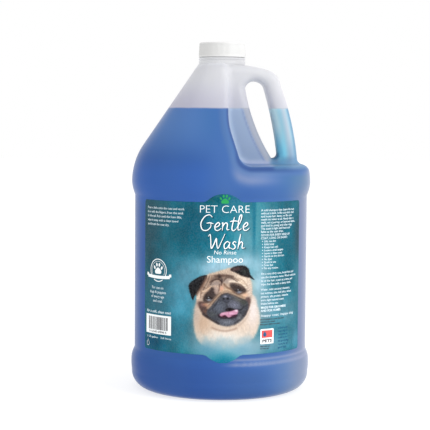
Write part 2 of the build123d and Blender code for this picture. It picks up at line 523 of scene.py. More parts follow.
def milky_surface(tree, colour, cover, normal, sheen_share):
    """Polyethylene: a soft glowing skin of this colour over what is behind it, with a satin sheen."""
    coat = {"Color": colour, "Normal": normal}
    front = node(tree, "ShaderNodeBsdfDiffuse", coat).outputs[0]
    inner = node(tree, "ShaderNodeBsdfTranslucent", coat).outputs[0]
    milky = node(tree, "ShaderNodeMixShader", {0: 0.25, 1: front, 2: inner}).outputs[0]
    clear = node(tree, "ShaderNodeBsdfTransparent", {"Color": (0.96, 0.97, 1.0, 1.0)}).outputs[0]
    wall = node(tree, "ShaderNodeMixShader", {0: cover, 1: clear, 2: milky}).outputs[0]
    satin = {"Color": (0.92, 0.93, 0.96, 1), "Roughness": 0.34, "Normal": normal}
    sheen = node(tree, "ShaderNodeBsdfGlossy", satin).outputs[0]
    edge = node(tree, "ShaderNodeFresnel", {"IOR": 1.36, "Normal": normal}).outputs[0]
    share = times(tree, edge, sheen_share)
    return node(tree, "ShaderNodeMixShader", {0: share, 1: wall, 2: sheen}).outputs[0]


def milk_colour(tree, x, z):
    """Empty polyethylene: more violet towards the liquid and on the left, a painted glow of light scattered
    up from it; paler on the collar's shaded left side, as painted light.
    """
    # Painted glow: violet light scattered up from the liquid, strongest just over the fill line and on the
    # left.
    near_fill = spread(tree, z, FILL_Z * MM, (FILL_Z + 30) * MM, 1.0, 0.0)
    to_left = spread(tree, x, -0.03, 0.04, 1.0, 0.3)
    violet = times(tree, near_fill, to_left)
    milk = blend_colours(tree, violet, srgb(226, 226, 228), srgb(202, 200, 214))
    # Painted light: the collar is made paler on its shaded left side, against the lamp from the right.
    on_collar = spread(tree, z, 0.279, 0.2835, 0.0, 1.0)
    shaded_side = spread(tree, x, -0.012, 0.016, 1.0, 0.0)
    return blend_colours(tree, times(tree, on_collar, shaded_side), milk, srgb(242, 243, 245))


def dyed_colour(tree, facing, skin, cloudy):
    """Polyethylene with liquid behind it: the painted skin, a little uneven, paler where it turns away,
    partly the milky wall seen edge-on and partly a painted reflection of the white surround.
    """
    unevenness = spread(tree, cloudy, 0.3, 0.7, 0.0, 0.08)
    lively = blend_colours(tree, unevenness, skin.outputs["Color"], srgb(110, 150, 205))
    # Haze: partly the milky wall seen edge-on, partly a painted reflection of the white surround at the
    # edges.
    haze = times(tree, spread(tree, facing, 0.55, 1.0, 0.0, 0.75), skin.outputs["Alpha"])
    return blend_colours(tree, haze, lively, srgb(160, 172, 198))


def shell_material():
    """Natural polyethylene, milky where it is empty and dyed by the liquid behind it below the fill line."""
    made, tree = new_material("natural_polyethylene")
    place = node(tree, "ShaderNodeTexCoord").outputs["Object"]
    x, y, z = node(tree, "ShaderNodeSeparateXYZ", {0: place}).outputs
    seam = spread(tree, maths(tree, "ABSOLUTE", y), 0.0, 0.0006, 1.0, 0.0)
    normal = bump(tree, plus(tree, times(tree, seam, 0.6), times(tree, noise(tree, 260.0), 0.12)), 0.25)
    facing = node(tree, "ShaderNodeLayerWeight", {"Blend": 0.5}).outputs["Facing"]
    level = plus(tree, z, times(tree, noise(tree, 60.0), 0.0008))
    filled = spread(tree, level, (FILL_Z + 0.3) * MM, (FILL_Z + 1.9) * MM, 1.0, 0.0)
    skin = node(tree, "ShaderNodeVertexColor", layer_name="skin")
    cloudy = noise(tree, 16.0, stretch=(1, 1, 0.5))
    colour = blend_colours(tree, filled, milk_colour(tree, x, z), dyed_colour(tree, facing, skin, cloudy))
    patchy = spread(tree, cloudy, 0.3, 0.7, -0.02, 0.02)
    empty_cover = plus(tree, spread(tree, facing, 0.1, 0.9, 0.78, 0.96), patchy)
    cover = maths(tree, "MAXIMUM", empty_cover, times(tree, filled, 0.95))
    sheen_share = spread(tree, skin.outputs["Alpha"], 0.0, 1.0, 0.2, 0.45)
    return finished(made, milky_surface(tree, colour, cover, normal, sheen_share))


def liquid_material():
    """Dyed liquid, a little cloudy."""
    made, tree = new_material("shampoo_liquid")
    deep = blend_colours(tree, noise(tree, 9.0), srgb(44, 92, 172), srgb(58, 110, 186))
    return principled(made, {"Base Color": deep, "Roughness": 0.3, "Specular IOR Level": 0.3})


def film_material():
    """Printed label film: the painted picture under a clear satin coat."""
    made, tree = new_material("label_film")
    picture = node(tree, "ShaderNodeVertexColor", layer_name="print").outputs["Color"]
    grain = noise(tree, 900.0)
    inputs = {
        "Base Color": blend_colours(tree, spread(tree, grain, 0.35, 0.65, 0.0, 0.02), picture, (1, 1, 1, 1)),
        "Roughness": spread(tree, noise(tree, 30.0, 3.0), 0.3, 0.7, 0.36, 0.46),
        "Specular IOR Level": 0.03,
        "Normal": bump(tree, plus(tree, noise(tree, 45.0), times(tree, grain, 0.05)), 0.10, 0.0004),
    }
    return principled(made, inputs)


def ink_material(name, colour):
    """Printing ink, very slightly uneven."""
    made, tree = new_material(name)
    paler = tuple(min(1.0, 1.12 * v + 0.01) for v in colour[:3]) + (1.0,)
    tone = blend_colours(tree, noise(tree, 700.0), colour, paler)
    return principled(made, {"Base Color": tone, "Roughness": 0.42, "Specular IOR Level": 0.15})


def cap_material():
    """White polypropylene with a fine moulded grain."""
    made, tree = new_material("white_polypropylene")
    inputs = {
        "Base Color": blend_colours(tree, noise(tree, 180.0, 3.0), srgb(209, 209, 208), srgb(215, 215, 214)),
        "Roughness": spread(tree, noise(tree, 300.0), 0.3, 0.7, 0.30, 0.42),
        "Specular IOR Level": 0.4,
        "Normal": bump(tree, noise(tree, 1400.0), 0.08, 0.0002),
    }
    return principled(made, inputs)


def foam_material():
    """Closed-cell foam."""
    made, tree = new_material("liner_foam")
    cells = noise(tree, 2400.0)
    tone = blend_colours(tree, cells, srgb(226, 226, 220), srgb(240, 240, 236))
    return principled(made, {"Base Color": tone, "Roughness": 0.85, "Normal": bump(tree, cells, 0.3, 0.0002)})


def foil_material():
    """Crinkled foil film."""
    made, tree = new_material("seal_film")
    crinkle = noise(tree, 420.0, 4.0)
    inputs = {
        "Base Color": blend_colours(tree, crinkle, srgb(190, 192, 198), srgb(216, 218, 222)),
        "Metallic": 0.85,
        "Roughness": spread(tree, crinkle, 0.3, 0.7, 0.25, 0.45),
        "Normal": bump(tree, crinkle, 0.35, 0.0003),
    }
    return principled(made, inputs)


def floor_material():
    """A white light table, so that the jug throws hardly any shadow."""
    made, tree = new_material("studio_floor")
    inputs = {
        "Base Color": blend_colours(tree, noise(tree, 3.0), srgb(156, 156, 156), srgb(160, 160, 160)),
        "Roughness": 0.9,
        "Specular IOR Level": 0.1,
        "Emission Color": (1, 1, 1, 1),
        "Emission Strength": 0.72,
    }
    return principled(made, inputs)


# ---------------------------------------------------------------- jug and contents
def rise(value, low, high):
    """Eased from 0 below low to 1 above high."""
    t = np.clip((value - low) / (high - low), 0, 1)
    return t * t * (3 - 2 * t)


def fall(value, low, high):
    """Eased from 1 below low to 0 above high."""
    return rise(-value, -high, -low)


def band(value, middle, width):
    """1 at the middle, fading to both sides."""
    return np.exp(-(((value - middle) / width) ** 2))


def tint(colours, share, colour):
    """Moves each colour this share of the way to another."""
    colours += share[:, None] * (np.asarray(colour, float) - colours)


def tint_body(colours, x, z):
    """Paler up the shoulder, with painted light towards the right and along the right edge; deeper over the
    label and at the foot; two painted reflections of the lamp along the base's step.
    """
    up = rise(z, 200, 238)
    over_label = rise(z, 158, 170)
    tint(colours, 0.8 * rise(z, 192, 236), (82, 126, 184))
    tint(colours, 0.7 * up * fall(x, -30, 0), (90, 134, 198))
    tint(colours, 0.7 * up * band(x, -4, 12), (64, 122, 182))
    # Painted light: paler towards the right, where the lamp falls.
    tint(colours, 0.4 * rise(x, -5, 70), (104, 138, 180))
    tint(colours, 0.8 * over_label * fall(z, 188, 206) * fall(x, -20, 8), (60, 108, 190))
    tint(colours, 0.8 * over_label * band(x, 1, 14), (72, 114, 180))
    # Painted light: paler along the right edge below the shoulder and at the lower right of the base.
    tint(colours, 0.6 * rise(x, 50, 74) * fall(z, 185, 215), (164, 152, 162))
    tint(colours, 0.45 * rise(x, 28, 66) * fall(z, 30, 42), (150, 164, 184))
    tint(colours, 0.6 * rise(x, 36, 66) * rise(z, 160, 190), (76, 126, 166))
    tint(colours, 0.6 * rise(x, -20, 20) * fall(x, 25, 50) * fall(z, 20, 32), (64, 100, 160))
    tint(colours, 0.5 * fall(z, 24, 38) * fall(x, -20, 30), (50, 90, 166))
    # Painted reflections: two pale lines of the lamp along the base's step.
    for reflection_z, reflection_strength in ((35.7, 0.6), (31.9, 0.7)):
        tint(colours, reflection_strength * rise(x, -4, 14) * band(z, reflection_z, 1.2), (168, 172, 198))


def tint_recess_edge(colours, x, z, on_round, from_recess):
    """The body's rounded edge round the recess: a pale painted reflection, then a dark line, partly deeper
    liquid and partly painted shade where the edge turns from the light.
    """
    tint(colours, on_round * fall(from_recess, 6, 10), (84, 122, 177))
    # Painted reflection: a pale patch on the rounded body beside the recess edge.
    glow = band(from_recess, 11.2, 4.8) * rise(x, 2, 13) * fall(x, 20, 60)
    tint(colours, 0.8 * glow * on_round, (142, 156, 192))
    # Painted shade: a dark line along the recess edge, partly deeper liquid, partly shade where the edge
    # turns from the light.
    low = fall(z, RECESS_Z, RECESS_Z + 14)
    rim = band(from_recess, 0.6 + 1.8 * low, 1.3 + 0.9 * low) * fall(x, 54, 80)
    tint(colours, on_round * rim, (64, 92, 150))


def tint_web(colours, web, from_recess, from_window):
    """The thin wall between the body and the finger window, with a painted highlight along the recess edge
    and a line of painted shade where the rounding into the window begins.
    """
    tint(colours, web, (183, 201, 222))
    # Painted highlight along the recess edge; painted shade along the line where the rounding into the window
    # begins.
    tint(colours, 0.6 * web * band(from_recess, -1.6, 1.0), (196, 208, 226))
    tint(colours, 0.6 * web * band(from_window, 6.6, 0.8), (140, 156, 196))
    tint(colours, web * fall(from_window, 4.8, 6.2), (182, 186, 196))


def tint_bar(colours, bar, z, share):
    """The grip: cyan, with painted light brightening the side beside the window, a pale painted highlight
    stripe and painted shade on the darker outer edge.
    """
    tint(colours, bar, (164, 212, 226))
    # Painted light: the side beside the window, and its lower part, made brighter where light comes through
    # the liquid.
    tint(colours, bar * fall(share, 0.15, 0.45), (222, 255, 255))
    tint(colours, bar * fall(z, 205, 232) * fall(share, 0.3, 0.6), (150, 236, 255))
    # Painted highlight: the pale stripe where the front turns towards the outer side.
    tint(colours, bar * band(share, 0.69, 0.15), (198, 214, 223))
    tint(colours, 0.6 * bar * fall(z, 205, 222) * rise(share, 0.45, 0.7), (148, 184, 214))
    # Painted shade: the darker outer edge, where the grip turns away.
    tint(colours, 0.8 * bar * rise(share, 0.80, 0.95), (120, 160, 190))


def tint_grip_foot(colours, x, z, from_window):
    """Where the grip runs into the body, and a painted shadow along the window's sill beside it."""
    foot = fall(z, RECESS_Z + 1, RECESS_Z + 9) * rise(z, RECESS_Z - 5, RECESS_Z)
    tint(colours, 0.85 * foot * rise(x, 39, 45), (96, 144, 182))
    tint(colours, 0.5 * foot * rise(x, 50, 62), (150, 178, 206))
    # Painted shadow: a dark teal line along the window's sill.
    sill = band(from_window, 0, 1.3) * rise(x, 42.5, 45.5) * fall(z, 203, 208)
    tint(colours, 0.8 * sill, (40, 112, 160))


def skin_colours(x, y, z):
    """Display colour of the shell over the liquid, and how open that place is to haze and sheen.

    Deep blue on the body, paler where the jug is thin beside the window, cyan in the grip, with painted
    light, shade and reflections laid over them."""
    colours = np.tile(np.array([57.0, 101.0, 174.0]), (len(x), 1))
    from_recess, from_window, from_outside = recess_plane(x, z), window_plane(x, z), -outer_plane(x, z)
    on_round = rise(body_plane(np.hypot(x, y), z), -7.0, -3.0) * rise(z, 150, 165)
    beside = fall(from_recess, -1.5, 1.0) * rise(z, RECESS_Z - 6, RECESS_Z - 1)
    on_bar = rise(x - WINDOW_MIDDLE - (FILL_Z - z) * WINDOW_LEAN, -3, 3)
    share = np.clip(from_window / np.maximum(from_window + from_outside, 1e-6), 0, 1)
    tint_body(colours, x, z)
    tint_recess_edge(colours, x, z, on_round, from_recess)
    tint_web(colours, beside * (1 - on_bar), from_recess, from_window)
    tint(colours, beside * fall(z, RECESS_Z, RECESS_Z + 5), (188, 196, 222))
    tint_bar(colours, beside * on_bar, z, share)
    tint_grip_foot(colours, x, z, from_window)
    in_recess = fall(from_recess, 3.0, 7.0) * fall(np.abs(x - 40), 30, 40)
    open_side = (1 - in_recess) * (1 - 0.35 * fall(x, -70, -30))
    return colours, np.maximum(open_side, rise(z, FILL_Z - 1, FILL_Z + 1))


def build_jug():
    """The blown skin up to the collar, handle and all."""
    reach = BODY_R + 4
    points, faces = surface_net(jug_distance, (-reach, -reach, -4), (reach, reach, 290))
    shell = mesh_object("jug_shell", points, faces, shell_material())
    paint_points(shell, "skin", *skin_colours(*points.T))
    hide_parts("jug")
    return shell


def build_neck(material):
    """Collar with a shallow groove, threaded finish and the bore down into the jug."""
    outside = [(COLLAR_R - 0.6, COLLAR_LOW - 1.5), (COLLAR_R, COLLAR_LOW), (COLLAR_R, 285.2)]
    outside += [(GROOVE_R, 285.6), (GROOVE_R, 286.1), (COLLAR_R, 286.5), (COLLAR_R, 287.9)]
    outside += [(GROOVE_R, COLLAR_HIGH), (NECK_R + 0.4, COLLAR_HIGH)]
    outside += dense([(NECK_R, COLLAR_HIGH + 0.4), (NECK_R, MOUTH_Z - 0.5)], 0.12)
    outside += [(NECK_R - 0.15, MOUTH_Z - 0.15), (NECK_R - 0.5, MOUTH_Z)]
    inside = [(MOUTH_R + 0.3, MOUTH_Z), (MOUTH_R, MOUTH_Z - 0.3), (MOUTH_R, COLLAR_LOW - 1.5)]
    profile = outside + inside + [outside[0]]

    def ridge(angle, radius, height):
        threaded = (np.abs(radius - NECK_R) < 1e-6) & (height > COLLAR_HIGH)
        return thread_height(angle, height, THREAD_LOW, 0.0, THREAD_R - NECK_R) * threaded

    neck = turned("jug_neck", profile, material, 240, ridge)
    paint_points(neck, "skin", np.full((len(neck.data.vertices), 3), 226.0))
    return neck


def build_shampoo():
    """The contents: the jug's shape, one wall smaller, with a level top that climbs a little at the wall."""
    gap = WALL + 0.15
    reach = BODY_R + 4

    def contents(x, y, z):
        hollow = jug_distance(x, y, z) + gap
        climb = 0.8 * np.exp(np.minimum(hollow, 0) / 1.2)
        return rounded_max(hollow, z - (FILL_Z - 0.8) - climb, 0.4)

    points, faces = surface_net(contents, (-reach, -reach, -4), (reach, reach, FILL_Z + 4))
    liquid = mesh_object("shampoo", points, faces, liquid_material())
    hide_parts("shampoo")
    return liquid


# ---------------------------------------------------------------- cap, liner and seal
def cap_profile(base, top, base_r, top_r):
    """Outline of the cap without ribs or thread: smooth rim, tapering side, sunk ring and dot, bore."""

    def skin(height):
        return base_r + (top_r - base_r) * (height - base) / (top - base)

    rim = base + RIM_HEIGHT
    edge_round = 0.9
    edge = [(math.cos(a), math.sin(a)) for a in np.linspace(0.1, 1.57, 7)]
    outside = [(skin(base) - 0.25, base), (skin(base), base + 0.25), (skin(rim), rim)]
    outside += [(skin(z), z) for z in np.linspace(rim + 0.15, top - 1.5, 10)]
    outside += [(skin(top - 1.2), top - 1.2)]
    outside += [(top_r - edge_round + edge_round * u, top - edge_round + edge_round * v) for u, v in edge]
    face = [(17.4, top), (17.2, top - 0.15), (16.9, top - 0.15), (16.7, top), (9.0, top), (2.5, top)]
    face += [(2.2, top - 0.12), (0.01, top - 0.12)]
    ceiling = top - CAP_TOP_WALL
    under = [(0.01, ceiling), (CAP_BORE - 0.6, ceiling), (CAP_BORE, ceiling - 0.4)]
    bore = dense([(CAP_BORE, ceiling - 0.5), (CAP_BORE, base + 0.3)], 0.15)
    return outside + face + under + bore + [(CAP_BORE + 0.3, base), outside[0]]


def build_cap():
    """White screw cap with ribs round its side and a thread inside."""
    base, top = COLLAR_HIGH + CAP_GAP, cap_high.z
    base_r = cap_high.x
    profile = cap_profile(base, top, base_r, base_r - 0.6)
    low_rib, high_rib = base + RIM_HEIGHT + 0.1, top - 1.3

    def shape(angle, radius, height):
        wave = np.clip(0.5 - 1.6 * np.cos(RIBS * angle), 0, 1)
        ribbed = (radius > CAP_BORE + 0.5) & (height > low_rib) & (height < high_rib)
        threaded = np.abs(radius - CAP_BORE) < 1e-6
        ridge = thread_height(angle, height, CAP_THREAD_LOW, CAP_THREAD_START, CAP_BORE - CAP_THREAD_R)
        return -RIB_DEPTH * wave * ribbed - ridge * threaded

    cap = turned("screw_cap_skirt", profile, cap_material(), RIBS * 10, shape)
    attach(cap, "cap")
    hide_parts("screw_cap")


def build_liner_and_seal():
    """The foam disc inside the cap, and the foil over the mouth."""
    pieces = (
        ("cap_liner", "liner", foam_material(), "liner_foam"),
        ("mouth_seal", "jug", foil_material(), "seal_film"),
    )
    for node_name, body, material, slot in pieces:
        low, high = (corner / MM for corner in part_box(node_name))
        rim = min(0.2, (high.z - low.z) / 3)
        profile = [(0.01, low.z), (high.x - rim, low.z), (high.x, low.z + rim), (high.x, high.z - rim)]
        profile += [(high.x - rim, high.z), (0.01, high.z)]
        disc = turned(node_name + "_disc", profile + [profile[0]], material, 128)
        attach(disc, body)
        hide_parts(node_name)


# ---------------------------------------------------------------- label artwork: tools
def cloud(s, z, size, stretch=1.0, octaves=3):
    """Soft mottling from 0 to 1, in patches of about this size, taller than wide by stretch."""
    total, weight = np.zeros_like(s), 0.0
    for octave in range(octaves):
        cell = size / 2**octave
        u, v = (s - s.min()) / cell, (z - z.min()) / (cell * stretch)
        lattice = rng.random((int(u.max()) + 3, int(v.max()) + 3))
        i, j = u.astype(int), v.astype(int)
        a, b = rise(u - i, 0, 1), rise(v - j, 0, 1)
        low = lattice[i, j] * (1 - b) + lattice[i, j + 1] * b
        high = lattice[i + 1, j] * (1 - b) + lattice[i + 1, j + 1] * b
        total += (low * (1 - a) + high * a) / 2**octave
        weight += 1 / 2**octave
    return total / weight


def smooth_loop(points, steps=5):
    """A closed round outline through the points (a Catmull-Rom curve)."""
    here = np.asarray(points, float)
    back, ahead, beyond = (np.roll(here, k, axis=0) for k in (1, -1, -2))
    out = []
    for t in np.linspace(0, 1, steps, endpoint=False):
        slope = (ahead - back) * t
        bend = (2 * back - 5 * here + 4 * ahead - beyond) * t**2
        twist = (3 * here - back - 3 * ahead + beyond) * t**3
        out.append((2 * here + slope + bend + twist) / 2)
    return np.stack(out, 1).reshape(-1, 2)


def smooth_path(points, steps=6):
    """A round chain through the points, open at both ends."""
    points = np.asarray(points, float)
    before, after = 2 * points[0] - points[1], 2 * points[-1] - points[-2]
    loop = smooth_loop([before, *points, after], steps)
    return loop[steps : steps * len(points) + 1]


def path_distance(points, u, v):
    """Distance to an open chain of points."""
    best = np.full(u.shape, 1e9)
    for (ax, ay), (bx, by) in zip(points, points[1:]):
        ex, ey = bx - ax, by - ay
        t = np.clip(((u - ax) * ex + (v - ay) * ey) / (ex * ex + ey * ey), 0, 1)
        best = np.minimum(best, np.hypot(u - ax - t * ex, v - ay - t * ey))
    return best


class Painting:
    """Display colours from 0 to 255 on a grid of label places: s millimetres round, z millimetres up."""

    def __init__(self, s, z):
        self.s, self.z = np.meshgrid(s, z, indexing="ij")
        self.colour = np.zeros((*self.s.shape, 3))

    def window(self, points, margin):
        """The part of the grid that holds these points and a margin round them."""
        low, high = np.min(points, 0) - margin, np.max(points, 0) + margin
        across = np.flatnonzero((self.s[:, 0] >= low[0]) & (self.s[:, 0] <= high[0]))
        up = np.flatnonzero((self.z[0] >= low[1]) & (self.z[0] <= high[1]))
        return slice(across[0], across[-1] + 1), slice(up[0], up[-1] + 1)

    def lay(self, window, cover, colour):
        """Colour over one part of the picture, as thick as cover says."""
        part = self.colour[window]
        part += cover[..., None] * (np.asarray(colour, float) - part)

    def patch(self, points, colour, soft, strength=1.0):
        """A rounded patch whose edge fades over twice soft."""
        outline = smooth_loop(points)
        window = self.window(outline, soft + 0.5)
        away = outline_distance(outline, self.s[window], self.z[window])
        self.lay(window, strength * (1 - rise(away, -soft, soft)), colour)

    def line(self, points, width, colour, soft=0.5, strength=1.0):
        """A rounded line through the points, thinning to both ends."""
        path = smooth_path(points)
        window = self.window(path, width + soft + 0.5)
        away = path_distance(path, self.s[window], self.z[window]) - width / 2
        self.lay(window, strength * (1 - rise(away, -soft, soft)), colour)

    def glow(self, centre, size, colour, strength=1.0, tilt=0.0):
        """A soft oval pool of colour."""
        window = self.window([centre, centre], 2.5 * max(size))
        c, d = math.cos(math.radians(tilt)), math.sin(math.radians(tilt))
        u, v = self.s[window] - centre[0], self.z[window] - centre[1]
        across, along = (u * c + v * d) / size[0], (v * c - u * d) / size[1]
        self.lay(window, strength * np.exp(-(across**2 + along**2)), colour)

    def hairs(self, outline, count, length, lean, contrast, strength=1.0, width=0.2, soft=0.6):
        """Short hairs over an outline, each a little lighter or darker than the paint at its root."""
        step = self.s[1, 0] - self.s[0, 0]
        start = np.array([self.s[0, 0], self.z[0, 0]])
        outline = smooth_loop(outline)
        low, high = outline.min(0), outline.max(0)
        roots = low + rng.random((count, 2)) * (high - low)
        roots = roots[outline_distance(outline, *roots.T) < -soft]
        cell = np.rint((roots - start) / step).astype(int)
        tone = self.colour[cell[:, 0], cell[:, 1]] * (1 + contrast * rng.normal(0, 1, len(roots)))[:, None]
        angle = lean(roots[:, 0], roots[:, 1]) + rng.normal(0, 0.18, len(roots))
        curl = rng.normal(0, 0.12, len(roots))
        reach = length * rng.uniform(0.6, 1.3, len(roots))
        ink, shade = np.zeros(self.s.shape), np.zeros(self.colour.shape)
        last = np.array(ink.shape) - 2
        pieces = max(2, round(length / (0.7 * step)))
        for k in range(pieces):
            share = k / (pieces - 1)
            way = angle + curl * share
            place = roots + (share * reach)[:, None] * np.stack([np.cos(way), np.sin(way)], -1)
            where = (place - start) / step
            i, j = np.clip(where.astype(int), 0, last).T
            a, b = (where - np.stack([i, j], -1)).T
            body = math.sin(math.pi * (0.15 + 0.8 * share)) * width / step
            corners = ((0, 0, (1 - a) * (1 - b)), (1, 0, a * (1 - b)), (0, 1, (1 - a) * b), (1, 1, a * b))
            for du, dv, w in corners:
                np.add.at(ink, (i + du, j + dv), w * body)
                np.add.at(shade, (i + du, j + dv), (w * body)[:, None] * tone)
        cover = strength * (1 - np.exp(-ink))
        mean = shade / np.maximum(ink, 1e-6)[..., None]
        self.colour += cover[..., None] * (np.clip(mean, 0, 255) - self.colour)


# ---------------------------------------------------------------- label artwork: the picture
FAWN = (202, 181, 162)
COAL = (22, 22, 25)
SLATE = (64, 66, 74)
BRIDGE_OF_NOSE = (2.5, 88.0)
CHEST = [
    (-21.5, 84), (-23.6, 77), (-24.4, 68), (-23.6, 59), (-20.5, 52), (-13, 47), (-2, 44.5), (9, 45.5),
    (19, 49.5), (27, 56), (31, 65), (31, 74), (28.6, 82), (25, 90), (10, 96), (-12, 94),
]
HEAD = [
    (-13.5, 106.6), (-7, 108.9), (0, 111.2), (8, 113), (17, 110), (22, 104.5), (24, 97), (24, 89),
    (22.6, 81.5), (19, 73.5), (13, 67), (6, 64), (-1, 64.8), (-7.5, 68.6), (-13.5, 71.6), (-18, 75.5),
    (-21.3, 82), (-22.2, 90), (-19.5, 99),
]


# Centre, size, colour and strength of the pools of colour on the label's ground
GROUND_POOLS = (
    ((-74, 142), (24, 60), (36, 76, 90), 0.9),
    ((-64, 158), (18, 12), (56, 88, 98), 0.5),
    ((-26, 148), (18, 22), (8, 84, 106), 0.9),
    ((-20, 133), (16, 12), (4, 100, 122), 0.6),
    ((2, 140), (12, 16), (16, 118, 140), 0.7),
    ((19, 138), (11, 24), (110, 176, 192), 0.8),
    ((40, 140), (8, 30), (96, 156, 170), 0.6),
    ((-37, 84), (17, 28), (82, 154, 180), 0.85),
    ((-62, 84), (14, 20), (76, 116, 136), 0.6),
    ((-30, 104), (14, 13), (96, 152, 174), 0.7),
    ((-10, 111), (12, 8), (142, 184, 204), 0.85),
    ((9, 116), (26, 9), (166, 200, 216), 0.9),
    ((31, 101), (9, 17), (172, 204, 219), 0.9),
    ((37, 78), (10, 17), (128, 172, 188), 0.8),
    ((65, 131), (8, 15), (6, 110, 134), 0.85),
    ((64, 106), (7, 12), (8, 104, 128), 0.8),
    ((49, 97), (8, 7), (46, 124, 142), 0.7),
    ((78, 136), (7, 20), (40, 76, 90), 0.85),
    ((78, 100), (7, 14), (84, 134, 150), 0.6),
    ((58, 73), (20, 15), (112, 170, 190), 0.75),
    ((50, 47), (16, 9), (96, 166, 192), 0.85),
    ((76, 50), (7, 10), (102, 172, 200), 0.7),
    ((-68, 47), (18, 8), (6, 74, 104), 0.9),
    ((-42, 57), (12, 8), (52, 110, 132), 0.6),
    ((-24, 62), (6, 12), (64, 114, 136), 0.6),
    ((8, 47), (30, 6), (172, 198, 210), 0.85),
    ((-11, 170), (10, 6), (0, 84, 98), 1.0),
    ((12, 171), (9, 5), (40, 114, 146), 0.8),
)


def paint_ground(art):
    """Brushed teal, darkest at the upper left, with a pale glow round the dog."""
    art.colour[:] = (22, 108, 128)
    for centre, size, colour, strength in GROUND_POOLS:
        art.glow(centre, size, colour, strength)
    mottle = cloud(art.s, art.z, 9.0, 1.2, 4) - 0.5
    brushed = cloud(art.s, art.z, 1.4, 1.6, 2) - 0.5
    art.colour *= 1 + (0.30 * mottle + 0.10 * brushed)[..., None]
    art.colour[..., 0] += 18 * (cloud(art.s, art.z, 15.0, 1.0, 3) - 0.5)


def paint_panel_edge(art):
    """The printed fold beside the right-hand text: a dark line and a pale band that fade downwards."""
    fold_s = 25.7
    fade = rise(art.z, 112, 150)
    line = band(art.s, fold_s, 1.5) * fade
    pale_side = rise(art.s, fold_s, 28) * (1 - rise(art.s, 29, 40)) * fade
    everywhere = (slice(None), slice(None))
    art.lay(everywhere, 0.5 * pale_side, (96, 172, 186))
    art.lay(everywhere, 0.9 * line, (16, 112, 138))


def outward(s, z):
    """Coat direction: away from the bridge of the nose, turning down over the chest."""
    away = np.arctan2(z - BRIDGE_OF_NOSE[1], s - BRIDGE_OF_NOSE[0])
    return np.where(z < 66, -math.pi / 2 + 0.35 * np.sin((s - 4) / 14), away)


def paint_chest(art):
    """The pale coat under the head, ragged at its foot where it sinks into the ground colour."""
    art.patch(CHEST, (224, 206, 188), 1.6)
    art.glow((-16, 67), (8, 12), (200, 168, 142), 0.85)
    art.glow((16, 64), (12, 10), (222, 198, 178), 0.7)
    art.glow((25, 77), (6, 13), (242, 230, 226), 0.9)
    art.glow((3, 55), (19, 6.5), (236, 230, 222), 0.85)
    art.glow((-22, 74), (3, 9), (184, 166, 156), 0.7)
    art.hairs(CHEST, 9000, 2.6, outward, 0.06, 0.9)
    art.line([(-9, 63), (-4, 61.2), (2, 60.4), (8, 61.4), (11, 62.6)], 1.0, (132, 92, 74), 1.5, 0.6)
    art.line([(-10, 65.4), (0, 62.8), (11, 65)], 1.2, (206, 178, 156), 1.4, 0.6)
    art.line([(-9, 59.8), (0, 58.0), (8, 59)], 0.8, (236, 220, 206), 1.4, 0.6)
    art.line([(13, 64.5), (19, 70), (22.6, 77)], 0.8, (178, 150, 134), 1.4, 0.6)
    art.line([(-9, 56), (-2, 51.5), (4, 54)], 0.5, (190, 178, 168), 1.4, 0.4)
    art.line([(-17, 72), (-19, 64), (-16, 57)], 0.8, (190, 160, 136), 1.6, 0.5)
    window = art.window(CHEST, 30)
    s, z = art.s[window], art.z[window]
    ragged = 9 * (cloud(s, z, 5.0, 1.4, 3) - 0.5)
    sunk = 1 - rise(z + ragged - 0.005 * (s - 4) ** 2, 42, 58)
    art.lay(window, 0.9 * sunk * np.exp(-(((s - 4) / 29) ** 4)), (92, 146, 168))
    art.lay(window, 0.8 * sunk * band(s, 10, 23), (178, 204, 216))
    art.glow((1, 34), (17, 9), (4, 118, 146), 1.0)
    art.glow((-14, 44), (7, 4), (84, 146, 172), 0.6)
    art.glow((17, 44), (8, 3.5), (104, 160, 184), 0.6)


def paint_ears(art):
    """Two folded black ears with a brown inside."""
    right = [(5.6, 111.2), (10, 114.2), (17, 114.5), (21, 111.8), (22.6, 107), (26.4, 102.7), (22.4, 104.2)]
    right += [(17.5, 105.4), (12, 108)]
    art.patch(right, COAL, 0.5)
    art.glow((10.4, 111.6), (4.4, 1.5), (96, 66, 62), 0.8, 10)
    art.glow((17.5, 109.4), (3, 2.2), (50, 56, 52), 0.8)
    art.line([(11, 108.4), (16, 106), (20.5, 105)], 0.7, (62, 46, 38), 0.7, 0.7)
    left = [(-13.4, 106), (-19, 105.6), (-25, 102.2), (-29.2, 98), (-28.2, 92), (-25.7, 85.4)]
    left += [(-24, 89), (-19.5, 95.5)]
    art.patch(left, COAL, 0.5)
    art.line([(-14.4, 104.6), (-17.6, 98.4), (-22.2, 90.4)], 1.6, (84, 58, 48), 1.2, 0.85)
    art.line([(-17, 104.6), (-22, 101.6), (-26.4, 98.4)], 0.5, (70, 76, 80), 0.9, 0.6)
    art.hairs(right, 1500, 1.8, outward, 0.35, 0.6)
    art.hairs(left, 1500, 1.8, outward, 0.35, 0.6)


def paint_head(art):
    """Fawn coat, lighter over the forehead and cheeks, darker between the eyes."""
    art.patch(HEAD, FAWN, 0.7)
    art.glow((15.5, 103), (9, 4.6), (248, 226, 204), 1.0, -25)
    art.glow((21, 93), (3.4, 8), (232, 212, 198), 0.85)
    art.glow((-18.8, 89), (2.3, 10), (240, 214, 194), 1.0, -14)
    art.glow((-13, 101), (2.6, 6), (222, 196, 174), 0.9, -38)
    art.glow((1, 109.4), (9, 1.9), (216, 194, 172), 0.85, 14)
    art.glow((-20.4, 82.5), (2.2, 3.2), (140, 112, 104), 0.8)
    art.glow((-5, 103.4), (10, 3.6), (140, 114, 98), 0.7, 14)
    art.glow((9, 96), (12, 7), (150, 124, 106), 0.55, -18)
    art.glow((-12, 90), (7, 8), (146, 118, 100), 0.6)
    art.hairs(HEAD, 12000, 1.9, outward, 0.13, 0.85)


